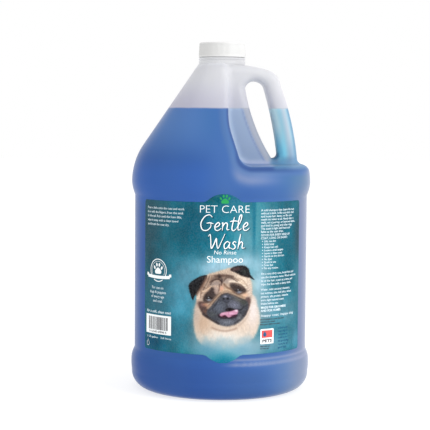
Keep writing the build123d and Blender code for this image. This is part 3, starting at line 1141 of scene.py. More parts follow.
def paint_brow(art):
    """Folds of the forehead, the dark mark in its middle and the two raised brows."""
    dark, mid = (66, 48, 42), (124, 94, 76)
    art.line([(-12, 105), (-14.6, 101), (-17, 95.6), (-18.2, 91)], 0.7, mid, 0.8, 0.8)
    art.line([(-9.4, 106.4), (-10.8, 101.6), (-13.2, 97)], 0.8, mid, 0.8, 0.8)
    middle = [(-10.8, 101.2), (-7.4, 103.6), (-3.4, 104), (1, 105.4), (8, 104.6), (5, 106.8), (-3, 107.4)]
    art.patch(middle + [(-7.6, 105.8)], (104, 82, 72), 1.0, 0.8)
    art.line([(-11, 100.6), (-8, 103), (-4, 103.4), (-1.2, 101)], 0.9, dark, 0.7, 0.85)
    art.line([(0.2, 103.4), (3.2, 105.6), (8, 104.8), (12.4, 102.6)], 0.8, dark, 0.8, 0.75)
    art.glow((-3.4, 105.6), (1.3, 1.8), (30, 20, 20), 1.0, 20)
    art.glow((-1.3, 102), (1.0, 2.4), (48, 38, 40), 0.95)
    left_brow = [(-11.6, 97.4), (-9.6, 100.2), (-6, 102), (-2.6, 100.8), (-2, 98.4), (-5, 98.2), (-8.6, 98)]
    art.patch(left_brow, (148, 132, 126), 1.5, 0.75)
    right_brow = [(0.4, 101.8), (3.4, 104), (7, 103), (9.6, 100.8), (4.6, 100), (1, 99.4)]
    art.patch(right_brow, (166, 150, 142), 1.5, 0.75)
    art.line([(4.8, 101.6), (10, 101.6), (15.4, 100), (18.8, 96.4)], 1.5, (246, 226, 206), 0.8, 0.9)
    art.line([(8, 103.6), (13, 102), (17, 99.4)], 0.4, (196, 160, 130), 0.7, 0.7)
    art.line([(5.6, 99.9), (11, 99.7), (15.4, 98), (18.4, 94.6)], 0.6, dark, 0.7, 0.7)
    art.line([(-17.6, 97), (-14, 95.6), (-11.4, 97.4)], 0.6, mid, 0.7, 0.85)
    art.line([(-17.4, 93.4), (-15, 93.2), (-12.4, 95.2), (-10, 97)], 1.2, (238, 202, 172), 0.7, 0.9)
    art.line([(-17, 87.4), (-16, 91), (-13.2, 93.6)], 0.6, (210, 176, 152), 0.6, 0.7)
    art.glow((-1.4, 95.4), (2.0, 3.4), (222, 166, 138), 0.95)
    art.line([(-3.2, 99), (-3.6, 95), (-5.2, 90.6)], 0.8, dark, 0.7, 0.8)
    art.line([(0.4, 99.4), (1.4, 97.4), (4.6, 95.4), (8.6, 93)], 0.9, (120, 86, 62), 0.8, 0.85)
    art.glow((3.8, 98.2), (2.0, 1.5), (206, 182, 160), 0.9, -20)


def paint_wrinkles(art):
    """The deepest folds, drawn over the coat."""
    dark, mid = (58, 42, 38), (112, 84, 68)
    art.line([(-14.6, 105), (-16.4, 100), (-18.6, 94), (-19, 88)], 0.9, mid, 0.7, 0.6)
    art.line([(-11.6, 106.2), (-12.6, 102.4), (-15.2, 97.4), (-17, 94)], 0.8, dark, 0.6, 0.55)
    art.line([(-10.8, 99), (-8.4, 102.2), (-4.4, 103.4), (-1.6, 101.6), (-1.8, 98.4)], 0.8, dark, 0.6, 0.7)
    art.line([(-8, 106.4), (-3.4, 106.4), (2.4, 106.6), (8, 106)], 1.1, (84, 62, 54), 0.9, 0.7)
    art.line([(0.2, 102), (3, 104.6), (7, 104.2), (11.4, 101.6)], 0.8, dark, 0.6, 0.65)
    art.line([(0.8, 99.6), (3, 97.2), (6, 95.4), (9.6, 92.6)], 0.9, mid, 0.7, 0.7)
    art.line([(12, 104.6), (16.4, 102.4), (20, 98)], 0.5, (170, 138, 116), 0.7, 0.7)


def paint_eye(art, centre, patch, shine):
    """A dark lid patch, a round brown eye and its wet shine."""
    x, z = centre
    art.patch(patch, (56, 44, 42), 1.3, 0.95)
    art.hairs(patch, 700, 1.3, outward, 0.4, 0.6)
    art.glow(centre, (2.4, 1.9), (10, 10, 14), 1.0)
    art.glow((x + 0.2, z - 0.5), (1.3, 0.9), (66, 46, 38), 0.75)
    art.glow((x - 0.5, z + 0.5), (0.5, 0.4), (236, 240, 244), 1.0)
    art.glow(shine, (1.6, 0.8), (150, 160, 176), 0.95)
    art.line([(x - 2.8, z - 1.2), (x, z - 2.5), (x + 2.8, z - 1.2)], 0.4, (150, 134, 136), 0.4, 0.8)
    art.line([(x - 2.8, z + 0.9), (x, z + 2.1), (x + 2.8, z + 0.9)], 0.4, (96, 78, 72), 0.5, 0.7)


def paint_eyes(art):
    """Both eyes, the folds between them and the warm coat under them."""
    left = [(-16.8, 86.4), (-15.2, 90.6), (-11.4, 94.4), (-9.6, 96.6), (-7, 95.4), (-5.2, 91.4), (-7.4, 88.2)]
    left += [(-10.5, 85), (-14.6, 83.8)]
    paint_eye(art, (-11.7, 87.7), left, (-11.7, 86.3))
    right = [(5.2, 98.8), (8, 99.6), (13.6, 98), (18.6, 94.8), (18.2, 92), (13.6, 90.8)]
    right += [(9.4, 92.4), (6.4, 95.4)]
    paint_eye(art, (12.7, 94.1), right, (13.1, 92.7))
    art.patch([(-7.6, 93), (-7.2, 96.8), (-5, 96.6), (-4.2, 93), (-5.6, 90.8)], (180, 156, 144), 1.0, 0.8)
    art.line([(-7.8, 97.4), (-5.6, 98), (-4, 96.6)], 0.5, (226, 190, 166), 0.5, 0.8)
    art.glow((-14.2, 82), (2.8, 1.5), (196, 146, 118), 0.9, -20)
    art.line([(-17.4, 83.6), (-14, 83.8), (-10.6, 84.4)], 0.5, (70, 52, 50), 0.6, 0.8)
    art.glow((18.2, 90.2), (2.8, 1.6), (236, 190, 158), 0.95)
    art.line([(14.6, 91.4), (18, 92), (20.6, 93.6)], 0.4, (120, 92, 76), 0.6, 0.7)


def paint_muzzle(art):
    """Black mask round the mouth, grey in the middle, under a pale fold over the nose."""
    mask = [
        (2.5, 91.6), (6.6, 90.2), (12, 88), (17.6, 86), (20.6, 83.6), (20.6, 78), (17.6, 72), (12.4, 67.4),
        (5, 64.8), (-1, 65.2), (-7, 68), (-11.4, 71.4), (-13.4, 75.4), (-12, 79.4), (-8, 83), (-4, 87),
        (-1.4, 90.4),
    ]
    cheek = [(-20.4, 84), (-16, 84.4), (-12.6, 80), (-11, 75), (-9, 71), (-13, 71.4)]
    cheek += [(-16.6, 73.6), (-19.6, 78.6)]
    art.patch(cheek, (66, 48, 46), 1.2, 0.9)
    jaw = [(18, 87), (21.6, 88.4), (23, 85), (21.4, 78.4), (18.4, 73), (16.4, 73), (18.6, 79)]
    art.patch(jaw, (88, 64, 64), 1.1, 0.9)
    art.glow((-17.4, 82), (1.8, 1.8), (150, 108, 104), 0.6)
    art.glow((-14.6, 76.6), (1.6, 1.2), (128, 92, 78), 0.6)
    art.patch(mask, SLATE, 1.1)
    art.glow((12.6, 86), (5, 1.7), (92, 90, 82), 0.85, -22)
    art.glow((16.6, 84), (3, 2.2), (58, 62, 54), 0.8)
    art.glow((-3.4, 80.4), (5, 4.4), (92, 98, 112), 0.95, 35)
    art.glow((8.6, 82.6), (5.6, 3.4), (112, 114, 130), 0.95, -16)
    art.glow((3.6, 68.2), (7, 2.2), (122, 126, 138), 0.95)
    art.glow((13.6, 71.8), (2.4, 2.4), (122, 124, 128), 0.85)
    art.glow((-9, 74.4), (3.2, 2.0), (74, 78, 80), 0.8)
    art.hairs(mask, 5200, 1.5, outward, 0.28, 0.8)
    art.line([(-16.4, 74), (-10.6, 70.2), (-4, 66.6)], 1.6, (36, 28, 30), 1.2, 0.85)
    art.line([(9, 66.4), (15, 70.8), (19.6, 77)], 1.0, (44, 38, 40), 1.2, 0.7)
    art.line([(2.8, 84), (3, 81), (3.8, 78.6)], 0.5, (44, 46, 54), 0.6, 0.85)
    art.line([(-9, 78.6), (-6, 83), (-3.4, 87)], 0.8, (40, 40, 48), 0.9, 0.7)
    fold = [(-13, 79.4), (-9, 84), (-4.6, 89.2), (-1, 92.4), (3, 93.4), (8, 92), (13, 89.6), (17.8, 87.6)]
    art.line(fold, 1.7, (166, 138, 116), 0.8, 0.95)
    art.line([(x, z - 1.7) for x, z in fold[1:]], 0.6, (44, 34, 34), 0.7, 0.85)
    art.line([(x + 0.2, z + 1.5) for x, z in fold[:4]], 0.5, (86, 64, 54), 0.6, 0.75)
    art.line([(-1.6, 93), (1.6, 95), (5, 94.4), (9, 92.8)], 0.8, (222, 188, 154), 0.7, 0.8)
    art.line([(7, 93.2), (12, 90.8), (18, 88.6)], 0.4, (112, 82, 64), 0.5, 0.7)


def paint_nose(art):
    """Grey nose with two nostrils and a wet shine."""
    nose = [(-1, 88.2), (0.8, 90.4), (4.4, 90.4), (6.4, 88), (5, 85.4), (2.4, 84.6), (0, 85.8)]
    art.patch(nose, (70, 72, 84), 0.6)
    art.glow((1.7, 89.2), (1.3, 0.8), (160, 162, 178), 0.9)
    art.glow((5.4, 88.4), (0.8, 0.7), (116, 118, 128), 0.7)
    art.glow((0.3, 87.3), (0.85, 0.7), (12, 12, 16), 1.0)
    art.glow((3.7, 87.3), (1.0, 0.8), (12, 12, 16), 1.0)
    art.line([(2.1, 88.4), (2.2, 86.4), (2.4, 84.8)], 0.2, (40, 42, 50), 0.35, 0.8)
    art.line([(-0.4, 85.6), (2.4, 84.3), (5.2, 85.2)], 0.4, (36, 38, 46), 0.5, 0.8)


def paint_mouth(art):
    """Open mouth with a pink tongue."""
    gape = [(1.8, 78.2), (4.4, 79.8), (8, 79.2), (9.8, 77.6), (6, 76.4), (3, 76.8)]
    art.patch(gape, (22, 14, 20), 0.5)
    lip = [(-4.8, 73.6), (-1, 75.2), (5, 75.6), (11.6, 74.2), (10.4, 71.6), (4, 70.6), (-2, 71)]
    art.patch(lip, (40, 28, 38), 0.7)
    tongue = [(-2.9, 73.8), (-1.2, 75.6), (2.6, 76.4), (6, 76.8), (10, 78), (12.5, 77.6), (11.6, 74.4)]
    tongue += [(9.6, 73.9), (6.8, 72.4), (4.2, 71.8), (1.4, 73.6), (-1.2, 72.4)]
    art.patch(tongue, (200, 142, 168), 0.6)
    art.glow((10.9, 77.2), (1.3, 0.7), (246, 230, 242), 1.0)
    art.glow((6.4, 75), (3.2, 0.9), (232, 176, 208), 0.85)
    art.glow((0.2, 74.8), (1.6, 0.6), (230, 180, 206), 0.8)
    art.line([(4.2, 76.8), (4.6, 75.6), (4.7, 74)], 0.3, (160, 92, 126), 0.45, 0.8)
    art.glow((0.5, 72.5), (1.8, 0.8), (72, 20, 38), 0.95)
    art.glow((8.5, 73), (1.8, 0.75), (66, 20, 46), 0.95)
    art.line([(12.8, 77.6), (15.6, 78.6), (17.4, 80.6)], 0.9, (28, 28, 34), 0.7, 0.85)


def paint_dog(art):
    """A plain pug, from the coat behind to the folds and features in front."""
    paint_chest(art)
    paint_head(art)
    paint_ears(art)
    paint_brow(art)
    paint_muzzle(art)
    paint_eyes(art)
    art.hairs(HEAD, 9000, 1.3, outward, 0.16, 0.6)
    paint_wrinkles(art)
    paint_nose(art)
    paint_mouth(art)


# ---------------------------------------------------------------- label sheet
def tab_reach(s, arc_centre, outward_sign, edge):
    """Height of the label's edge at a place round it: straight, with a rounded tab in the middle."""
    flat = np.full_like(s, edge)
    inside = np.maximum(TAB_ARC**2 - s**2, 0)
    domed = arc_centre + outward_sign * np.sqrt(inside)
    rise = outward_sign * (domed - edge)
    eased = (rise + np.sqrt(rise**2 + TAB_ROOT)) / 2
    return flat + outward_sign * np.where(np.abs(s) < TAB_ARC + TAB_ROOT, eased * (rise > -TAB_ROOT), 0)


def label_edges(s):
    """Lowest and highest point of the label at each place round it."""
    top = tab_reach(s, TAB_HIGH - TAB_ARC, 1, LABEL_HIGH)
    bottom = tab_reach(s, TAB_LOW + TAB_ARC, -1, LABEL_LOW)
    into_corner = np.clip(np.abs(s) - (LABEL_HALF - LABEL_CORNER), 0, LABEL_CORNER)
    cut = LABEL_CORNER - np.sqrt(LABEL_CORNER**2 - into_corner**2)
    return bottom + cut, top - cut


def wrap(s, z, lift):
    """Points on the jug at places s round and z up, lifted off its skin."""
    radius = body_radius(z) + lift
    angle = s / LABEL_R
    return np.stack([radius * np.sin(angle), -radius * np.cos(angle), z], -1)


def uneven_steps(low, high, fine_low, fine_high, fine, coarse):
    """Steps over a length, fine in one stretch and coarse outside it."""
    parts = [
        np.linspace(low, fine_low, round((fine_low - low) / coarse), endpoint=False),
        np.linspace(fine_low, fine_high, round((fine_high - fine_low) / fine), endpoint=False),
        np.linspace(fine_high, high, round((high - fine_high) / coarse) + 1),
    ]
    return np.concatenate(parts)


def paint_label():
    """The label's whole picture on an even grid, darkened towards the right as painted shade that evens out
    the lamp's stronger light on that side.
    """
    step, margin = 0.25, 1
    s = np.arange(-LABEL_HALF - margin, LABEL_HALF + margin, step)
    z = np.arange(TAB_LOW - margin, TAB_HIGH + margin, step)
    art = Painting(s, z)
    paint_ground(art)
    paint_panel_edge(art)
    paint_dog(art)
    paint_word_shadows(art)
    # Painted shade: darker towards the right, where the lamp falls strongest.
    art.colour *= (0.95 - 0.12 * rise(art.s, -10, 70))[..., None]
    return art


def read_picture(art, s, z):
    """Colours of the picture at these places, by interpolation."""
    u = (s - art.s[0, 0]) / (art.s[1, 0] - art.s[0, 0])
    v = (z - art.z[0, 0]) / (art.z[0, 1] - art.z[0, 0])
    i, j = u.astype(int), v.astype(int)
    a, b = (u - i)[:, None], (v - j)[:, None]
    near = art.colour[i, j] * (1 - b) + art.colour[i, j + 1] * b
    far = art.colour[i + 1, j] * (1 - b) + art.colour[i + 1, j + 1] * b
    return near * (1 - a) + far * a


def build_label():
    """The printed film round the panel, meshed finest where the dog is."""
    s = uneven_steps(-LABEL_HALF, LABEL_HALF, -30, 31, 0.3, 0.6)
    z = uneven_steps(TAB_LOW, TAB_HIGH, 44, 116, 0.3, 0.6)
    low, high = label_edges(s)
    across = np.repeat(s, len(z))
    up = np.clip(z[None, :], low[:, None], high[:, None]).ravel()
    quads = grid_faces(len(s), len(z))
    tall = np.ptp(up[quads], axis=1) > 1e-4
    skin = wrap(across, up, LABEL_THICKNESS)
    sheet = mesh_object("label_film_sheet", skin, quads[tall][:, ::-1], film_material())
    paint_points(sheet, "print", read_picture(paint_label(), across, up))
    merge_points(sheet, 0.01)
    thicken(sheet, LABEL_THICKNESS - 0.02)
    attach(sheet, "jug")
    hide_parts("label")


def merge_points(thing, reach):
    """Joins points that lie together and drops those that no face uses."""
    work = bmesh.new()
    work.from_mesh(thing.data)
    bmesh.ops.remove_doubles(work, verts=work.verts, dist=reach * MM)
    loose = [vertex for vertex in work.verts if not vertex.link_faces]
    bmesh.ops.delete(work, geom=loose, context="VERTS")
    work.to_mesh(thing.data)
    work.free()


def thicken(thing, thickness):
    """Turns an open skin into a closed sheet by growing it inwards."""
    solid = thing.modifiers.new("thickness", "SOLIDIFY")
    solid.thickness = thickness * MM
    solid.offset = -1.0


# ---------------------------------------------------------------- printing on the label
class Ink:
    """Closed thin shapes of one colour, gathered and then laid on the jug as one piece."""

    def __init__(self, name, colour):
        self.name, self.colour = name, colour
        self.points, self.faces = [], []

    def add(self, places, faces):
        """Places are (s, z, height above the ink's underside)."""
        base = len(self.points)
        self.points += [tuple(p) for p in places]
        self.faces += [tuple(base + k for k in face) for face in faces]

    def shape(self, outline, lift=0.0):
        """A filled outline, given anticlockwise and convex enough to fill from its middle."""
        outline = [tuple(p) for p in outline]
        count = len(outline)
        centre = tuple(np.mean(outline, 0))
        rim = [(*p, PRINT_DEPTH + lift) for p in outline] + [(*p, lift) for p in outline]
        places = rim + [(*centre, PRINT_DEPTH + lift), (*centre, lift)]
        faces = []
        for k in range(count):
            after = (k + 1) % count
            faces.append((k, after, 2 * count))
            faces.append((count + after, count + k, 2 * count + 1))
            faces.append((count + k, count + after, after, k))
        self.add(places, faces)

    def stroke(self, path, widths, lift=0.0):
        """A ribbon along a path, as wide as widths says at each point."""
        path = np.asarray(path, float)
        along = np.gradient(path, axis=0)
        along /= np.maximum(np.hypot(*along.T), 1e-9)[:, None]
        half = np.broadcast_to(widths, len(path)) / 2
        side = np.stack([-along[:, 1], along[:, 0]], -1) * half[:, None]
        edges = [*(path + side), *(path - side)]
        places = [(*p, PRINT_DEPTH + lift) for p in edges] + [(*p, lift) for p in edges]
        count = len(path)
        under = 2 * count
        faces = []
        for k in range(count - 1):
            a, b, c, d = k, k + 1, count + k + 1, count + k
            faces += [(a, d, c, b), (under + a, under + b, under + c, under + d)]
            faces += [(a, b, under + b, under + a), (d, under + d, under + c, c)]
        last = count - 1
        faces.append((0, 2 * count, 3 * count, count))
        faces.append((last, count + last, 3 * count + last, 2 * count + last))
        self.add(places, faces)

    def ring(self, centre, radius, width, start=0, end=360):
        """Part of a ring between two angles, in degrees."""
        turns = max(12, round(abs(end - start) / 7))
        self.stroke(arc(centre, radius, start, end, turns), width)

    def box(self, low, high, corner=0.0, lift=0.0):
        """An upright box, cut into strips so that it bends round the jug."""
        (x0, z0), (x1, z1) = low, high
        strips = max(2, math.ceil((x1 - x0) / 2))
        s = np.linspace(x0, x1, strips + 1)
        if corner:
            near = corner * (1 - np.cos(np.linspace(0, math.pi / 2, 6)))
            between = s[(s > x0 + corner) & (s < x1 - corner)]
            s = np.concatenate([x0 + near, between, x1 - near[::-1]])
        inset = np.clip(corner - np.minimum(s - x0, x1 - s), 0, corner)
        heights = (z1 - z0) - 2 * (corner - np.sqrt(corner**2 - inset**2))
        self.stroke(np.stack([s, np.full(len(s), (z0 + z1) / 2)], -1), heights, lift)

    def text(self, words, place, cap, align="LEFT", fit=None, weight=0.02, slant=0.0, detail=2, lift=0.0):
        """A line of plain lettering with capitals cap tall, stretched to the width fit if one is given."""
        curve = bpy.data.curves.new("letters", "FONT")
        curve.body = words
        curve.align_x = align
        curve.resolution_u = detail
        curve.offset = weight
        curve.shear = slant
        scale = cap / CAPITAL
        curve.extrude = PRINT_DEPTH / scale / 2
        holder = bpy.data.objects.new("letters", curve)
        mesh = bpy.data.meshes.new_from_object(holder)
        spots = np.empty(3 * len(mesh.vertices))
        mesh.vertices.foreach_get("co", spots)
        spots = spots.reshape(-1, 3) * scale
        if fit:
            spots[:, 0] *= fit / np.ptp(spots[:, 0])
        spots += (place[0], place[1], PRINT_DEPTH / 2 + lift)
        self.add(spots, [tuple(face.vertices) for face in mesh.polygons])
        bpy.data.objects.remove(holder)
        bpy.data.curves.remove(curve)
        bpy.data.meshes.remove(mesh)

    def block(self, lines, place, cap, pitch, **settings):
        """Lines of text one under another, hanging from a place."""
        for k, line in enumerate(lines):
            self.text(line, (place[0], place[1] - cap - k * pitch), cap, **settings)

    def lay(self):
        """Wraps everything round the jug and makes the piece."""
        s, z, height = np.array(self.points).T
        points = wrap(s, z, PRINT_LIFT + height)
        material = ink_material(self.name, srgb(*self.colour))
        piece = mesh_object(self.name, points, self.faces, material, smooth=False)
        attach(piece, "jug")


# Height of a capital in Blender's own lettering, at size one
CAPITAL = 0.682

# Handwritten letters: the step to the next letter and strokes through points, small letters one unit tall
HAND = {
    "G": (1.75, [
        [(1.5, 1.7), (1.1, 2.0), (0.5, 1.75), (0.12, 0.9), (0.4, 0.12), (1.0, 0.02), (1.42, 0.45),
         (1.4, 0.9)],
        [(0.85, 0.92), (1.3, 0.98), (1.75, 0.86)],
    ]),
    "e": (0.9, [
        [(0.08, 0.42), (0.5, 0.52), (0.72, 0.82), (0.48, 1.02), (0.16, 0.6), (0.26, 0.12), (0.6, 0.02),
         (0.98, 0.3)],
    ]),
    "n": (1.05, [
        [(0.02, 0.9), (0.16, 0.96), (0.18, 0.02)],
        [(0.18, 0.5), (0.46, 0.98), (0.74, 0.82), (0.76, 0.16), (1.08, 0.14)],
    ]),
    "t": (0.78, [
        [(0.42, 1.72), (0.3, 0.9), (0.28, 0.2), (0.5, 0.0), (0.84, 0.24)],
        [(-0.08, 1.16), (0.4, 1.24), (0.98, 1.2)],
    ]),
    "l": (0.66, [
        [(0.02, 0.3), (0.42, 1.2), (0.5, 1.92), (0.28, 1.9), (0.16, 1.0), (0.26, 0.1), (0.68, 0.26)],
    ]),
    "W": (2.05, [
        [(-0.1, 1.7), (0.12, 1.95), (0.3, 1.1), (0.5, 0.06), (0.8, 0.7), (1.02, 1.42), (1.16, 0.7),
         (1.4, 0.06), (1.72, 0.9), (2.1, 2.06)],
    ]),
    "a": (1.02, [
        [(0.8, 0.82), (0.46, 1.02), (0.1, 0.6), (0.24, 0.06), (0.58, 0.2), (0.82, 0.8)],
        [(0.84, 0.98), (0.8, 0.22), (1.1, 0.12)],
    ]),
    "s": (0.78, [
        [(0.66, 0.86), (0.4, 1.02), (0.2, 0.78), (0.5, 0.48), (0.58, 0.18), (0.3, -0.02), (0.0, 0.14)],
    ]),
    "h": (1.0, [
        [(0.3, 2.05), (0.22, 1.1), (0.16, 0.0)],
        [(0.18, 0.44), (0.46, 0.96), (0.72, 0.78), (0.74, 0.14), (1.1, 0.16)],
    ]),
}

# Each handwritten word: where it starts, the height of its small letters and the gap between letters
WORDS = (("Gentle", (-20.6, 143.8), 6.5, 0.4), ("Wash", (-13.4, 128.6), 6.1, 0.2))
SLANT = 0.12


def hand_strokes():
    """Every stroke of the two handwritten words, as paths on the label."""
    for word, (s, z), size, gap in WORDS:
        for letter in word:
            advance, strokes = HAND[letter]
            for stroke in strokes:
                yield [(s + size * (x + SLANT * y), z + size * y) for x, y in smooth_path(stroke)]
            s += size * advance + gap


def paint_word_shadows(art):
    """A dark edge behind the handwriting, a little to the right and down."""
    for path in hand_strokes():
        path = np.array(path[::2]) + (0.45, -0.45)
        window = art.window(path, 2.5)
        away = path_distance(path, art.s[window], art.z[window])
        art.lay(window, 0.75 * (1 - rise(away, 0.1, 1.0)), (6, 44, 60))


def print_headings(white):
    """The large words; the handwriting swells in the middle of each stroke."""
    white.text("PET CARE", (0.6, 158.4), 6.2, "CENTER", fit=41.5, weight=-0.016, detail=5)
    for path in hand_strokes():
        t = np.linspace(0, 1, len(path))
        white.stroke(path, 0.3 + 0.6 * np.sin(np.pi * np.clip(0.12 + 0.8 * t, 0, 1)))
    white.text("No Rinse", (1.1, 124.1), 3.3, "CENTER", fit=18.4, weight=-0.004, slant=0.1, detail=3)
    white.text("Shampoo", (1.2, 117.2), 5.4, "CENTER", fit=30.0, weight=-0.002, detail=4)


def print_left_text(pale):
    """Directions above the seal, and short lines under it."""
    pale.block(
        [
            "Pour a little onto the coat and work",
            "it in with the fingers, from the neck",
            "to the tail. Rub until the foam lifts,",
            "wipe it away with a clean towel",
            "and brush the coat dry.",
        ],
        (-74.6, 161.8), 1.9, 3.45, weight=0.006,
    )
    for_whom = ["For use on", "dogs & puppies", "of every age", "and coat"]
    pale.block(for_whom, (-61.2, 94.6), 2.2, 3.75, align="CENTER", weight=0.006)
    pale.text("for a soft, clean coat", (-75.6, 72.0), 2.2, fit=29.5, weight=0.02, slant=0.3)
    pale.text("1 US gallon   3.8 litres", (-75.4, 50.4), 1.6, fit=29.0, weight=0.006)


def print_description(pale):
    """Top of the right-hand panel: what the shampoo is, and a list with square bullets."""
    pale.block(
        [
            "A mild shampoo that cleans the coat",
            "without a bath. It lifts out dust, mud",
            "and loose hair, leaves no film and",
            "needs no water at all. Handy after a",
            "walk, on a journey, or between baths,",
            "and kind to young and older dogs.",
            "The scent is light and fresh and",
            "fades as the coat dries.",
        ],
        (32.0, 161.2), 1.74, 2.56, weight=0.012,
    )
    pale.block(["GOOD FOR EVERY KIND OF", "COAT, LONG OR SHORT:"], (32.0, 140.4), 1.7, 2.55, weight=0.012)
    virtues = [
        "Lifts out dirt",
        "Adds body",
        "Keeps hair soft",
        "Loosens small tangles",
        "Leaves a clean scent",
        "Gentle on dry skin too",
        "No dyes",
        "Quick to use",
        "Dries fast",
        "Fits any routine",
    ]
    top, cap, pitch = 135.2, 1.6, 2.5
    pale.block(virtues, (35.0, top), cap, pitch, weight=0.012)
    for k in range(len(virtues)):
        z = top - cap / 2 - pitch * k
        pale.box((33.2, z - 0.35), (33.9, z + 0.35))


def print_contents(pale, dark, navy):
    """Foot of the right-hand panel: tips, contents, storage and a motto."""
    pale.block(
        [
            "On a very dirty coat, brush first and",
            "use the shampoo twice. Work with the",
            "lie of the hair, a part at a time, and",
            "wipe the face with a damp cloth.",
        ],
        (32.4, 108.2), 1.74, 2.95, weight=0.012,
    )
    pale.block(
        [
            "Water, mild coconut cleansers,",
            "oat extract, aloe leaf juice, wheat",
            "protein, silk protein, vitamins",
            "and a light natural scent.",
            "Shake before use.",
        ],
        (32.4, 94.9), 1.74, 2.95, weight=0.012,
    )
    pale.block(["MADE FOR GROOMERS", "AND FOR HOMES"], (32.6, 79.8), 1.75, 2.7, weight=0.03)
    pale.text("happy coat, happy dog", (32.6, 71.2), 2.0, fit=37.5, weight=0.006, slant=0.2)
    storage = ["Store upright in a cool, dry place", "with the cap closed.", "Best used within two years."]
    dark.block(storage, (32.0, 69.6), 1.3, 2.1, weight=0.006)
    motto = ["A fresh coat", "every day of", "the week, at", "home or in", "the grooming", "room, for all"]
    motto += ["good dogs"]
    navy.block(motto, (50.6, 61.4), 1.6, 2.75, weight=0.006)


def paw(ink, centre, size):
    """A plain paw print: one pad and four toes."""
    x, z = centre
    pad = [(0, -0.5), (0.42, -0.46), (0.5, -0.2), (0.22, 0.1), (0, 0.2)]
    pad += [(-0.22, 0.1), (-0.5, -0.2), (-0.42, -0.46)]
    ink.shape([(x + size * u, z + size * v) for u, v in smooth_loop(pad)])
    toe = [(0.13 * math.cos(a), 0.21 * math.sin(a)) for a in np.linspace(0, 2 * math.pi, 16, endpoint=False)]
    for u, v, lean in ((-0.56, 0.18, 25), (-0.2, 0.5, 8), (0.2, 0.5, -8), (0.56, 0.18, -25)):
        c, d = math.cos(math.radians(lean)), math.sin(math.radians(lean))
        ink.shape([(x + size * (u + p * c - q * d), z + size * (v + p * d + q * c)) for p, q in toe])


def print_seal(white):
    """A round badge with a paw in it and a blank ribbon across its foot."""
    x, z = centre = (-60.5, 108.2)
    outer, inner, line = 9.4, 7.6, 0.7
    white.ring(centre, outer, line, -38, 218)
    white.ring(centre, inner, 0.3, -30, 210)
    paw(white, (x, z + 0.8), 7.6)
    sag = 0.004
    white.stroke([(x + t, z - 5.8 + sag * t * t) for t in np.linspace(-13, 13, 15)], 2.6)
    for side in (-1, 1):
        white.stroke([(x + side * t, z - 4.6 + sag * t * t) for t in (12.4, 14.6)], 2.4)
    white.ring(centre, outer, line, 236, 304)


def print_barcode(white, dark):
    """A white box with made-up bars and a row of plain digits."""
    white.box((-76.3, 54.1), (-45.9, 70.2), 0.4)
    s, bars_end = -72.4, -50.2
    while s < bars_end:
        bar, gap = rng.choice([0.3, 0.45, 0.8], 2)
        dark.box((s, 57.6), (s + bar, 68.6), lift=0.05)
        s += bar + gap
    dark.text("0 12345 67890 5", (-61.2, 55.1), 1.6, "CENTER", fit=21.0, lift=0.05)


def print_badge(white, dark, red, blue):
    """A white badge with a red flash, a blue drop and a plain word."""
    white.box((32.4, 48.2), (45.6, 60.8), 0.8)
    red.box((33.6, 53.4), (44.4, 59.6), 0.5, lift=0.05)
    drop = arc((36.6, 56.0), 1.6, 150, 390, 14) + [(36.6, 59.0)]
    blue.shape(drop, lift=0.10)
    dark.text("PETS", (39.0, 49.6), 2.3, "CENTER", fit=9.6, weight=0.04, lift=0.05)
    dark.block(["Filled with care", "for every pet"], (32.3, 46.8), 1.1, 1.8, weight=0.006)


def print_drop(white):
    """Outline of a water drop in the lower left corner."""
    round_part = arc((-73.6, 44.9), 1.7, 150, 390, 16)
    white.stroke(round_part + [(-73.6, 48.4)] + round_part[:1], 0.32)


def build_print():
    """Everything printed over the picture, one piece for each ink."""
    white = Ink("label_white_print", (238, 244, 246))
    pale = Ink("label_small_print", (208, 224, 232))
    dark = Ink("label_dark_print", (58, 52, 60))
    navy = Ink("label_blue_print", (22, 84, 124))
    green = Ink("label_green_paw", (36, 150, 82))
    red = Ink("label_red_flash", (206, 86, 84))
    print_headings(white)
    print_left_text(pale)
    print_description(pale)
    print_contents(pale, dark, navy)
    print_seal(white)
    print_barcode(white, dark)
    print_badge(white, dark, red, navy)
    print_drop(white)
    paw(green, (0.8, 169.2), 6.2)
    for ink in (white, pale, dark, navy, green, red):
        ink.lay()


# ---------------------------------------------------------------- studio
FOCAL_LENGTH = 116.9
CAMERA_DISTANCE = 1222.0
EYE_HEIGHT = 240.3
CAMERA_AZIMUTH = math.radians(-2.0)
CAMERA_PITCH = math.radians(-4.17)
CAMERA_YAW = math.radians(0.24)
CAMERA_ROLL = math.radians(0.45)


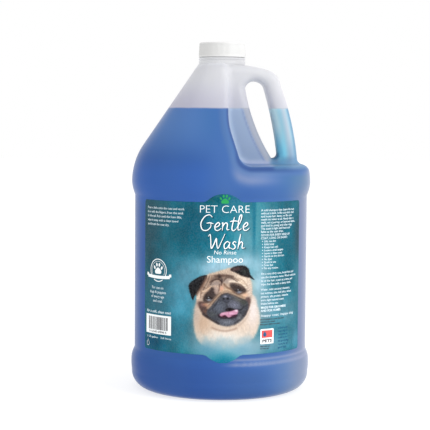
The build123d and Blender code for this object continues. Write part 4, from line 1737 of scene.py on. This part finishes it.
def build_camera():
    """Long lens a little above the middle of the jug, looking slightly down."""
    data = bpy.data.cameras.new("camera")
    data.lens = FOCAL_LENGTH
    data.sensor_width = 36.0
    data.clip_start = 0.05
    camera = bpy.data.objects.new("camera", data)
    bpy.context.scene.collection.objects.link(camera)
    side, back = math.sin(CAMERA_AZIMUTH), -math.cos(CAMERA_AZIMUTH)
    camera.location = Vector((side * CAMERA_DISTANCE, back * CAMERA_DISTANCE, EYE_HEIGHT)) * MM
    turn = Matrix.Rotation(CAMERA_AZIMUTH + CAMERA_YAW, 3, "Z")
    turn = turn @ Matrix.Rotation(math.pi / 2 + CAMERA_PITCH, 3, "X") @ Matrix.Rotation(CAMERA_ROLL, 3, "Z")
    camera.rotation_euler = turn.to_euler()
    bpy.context.scene.camera = camera


def soft_light(name, place, size, power):
    """A rectangular lamp aimed at the middle of the jug."""
    data = bpy.data.lights.new(name, "AREA")
    data.shape = "RECTANGLE"
    data.size, data.size_y = size
    data.energy = power
    light = bpy.data.objects.new(name, data)
    bpy.context.scene.collection.objects.link(light)
    light.location = place
    target = Vector((0, 0, 0.16))
    light.rotation_euler = (target - Vector(place)).to_track_quat("-Z", "Y").to_euler()


def build_studio():
    """A pale floor and an even white surround, with one soft light from the front right."""
    half = 6.0 / MM
    corners = [(-half, -half, 0), (half, -half, 0), (half, half, 0), (-half, half, 0)]
    mesh_object("floor", corners, [(0, 1, 2, 3)], floor_material())
    world = bpy.data.worlds.new("studio")
    world.use_nodes = True
    surround = world.node_tree.nodes["Background"]
    surround.inputs["Color"].default_value = (1, 1, 1, 1)
    surround.inputs["Strength"].default_value = 1.0
    bpy.context.scene.world = world
    soft_light("key", (1.1, -0.9, 0.9), (0.7, 1.1), 14.0)
    bpy.context.scene.view_settings.view_transform = "Standard"


build_camera()
build_studio()
jug_shell = build_jug()
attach(jug_shell, "jug")
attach(build_neck(jug_shell.data.materials[0]), "jug")
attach(build_shampoo(), "jug")
build_cap()
build_liner_and_seal()
build_label()
build_print()
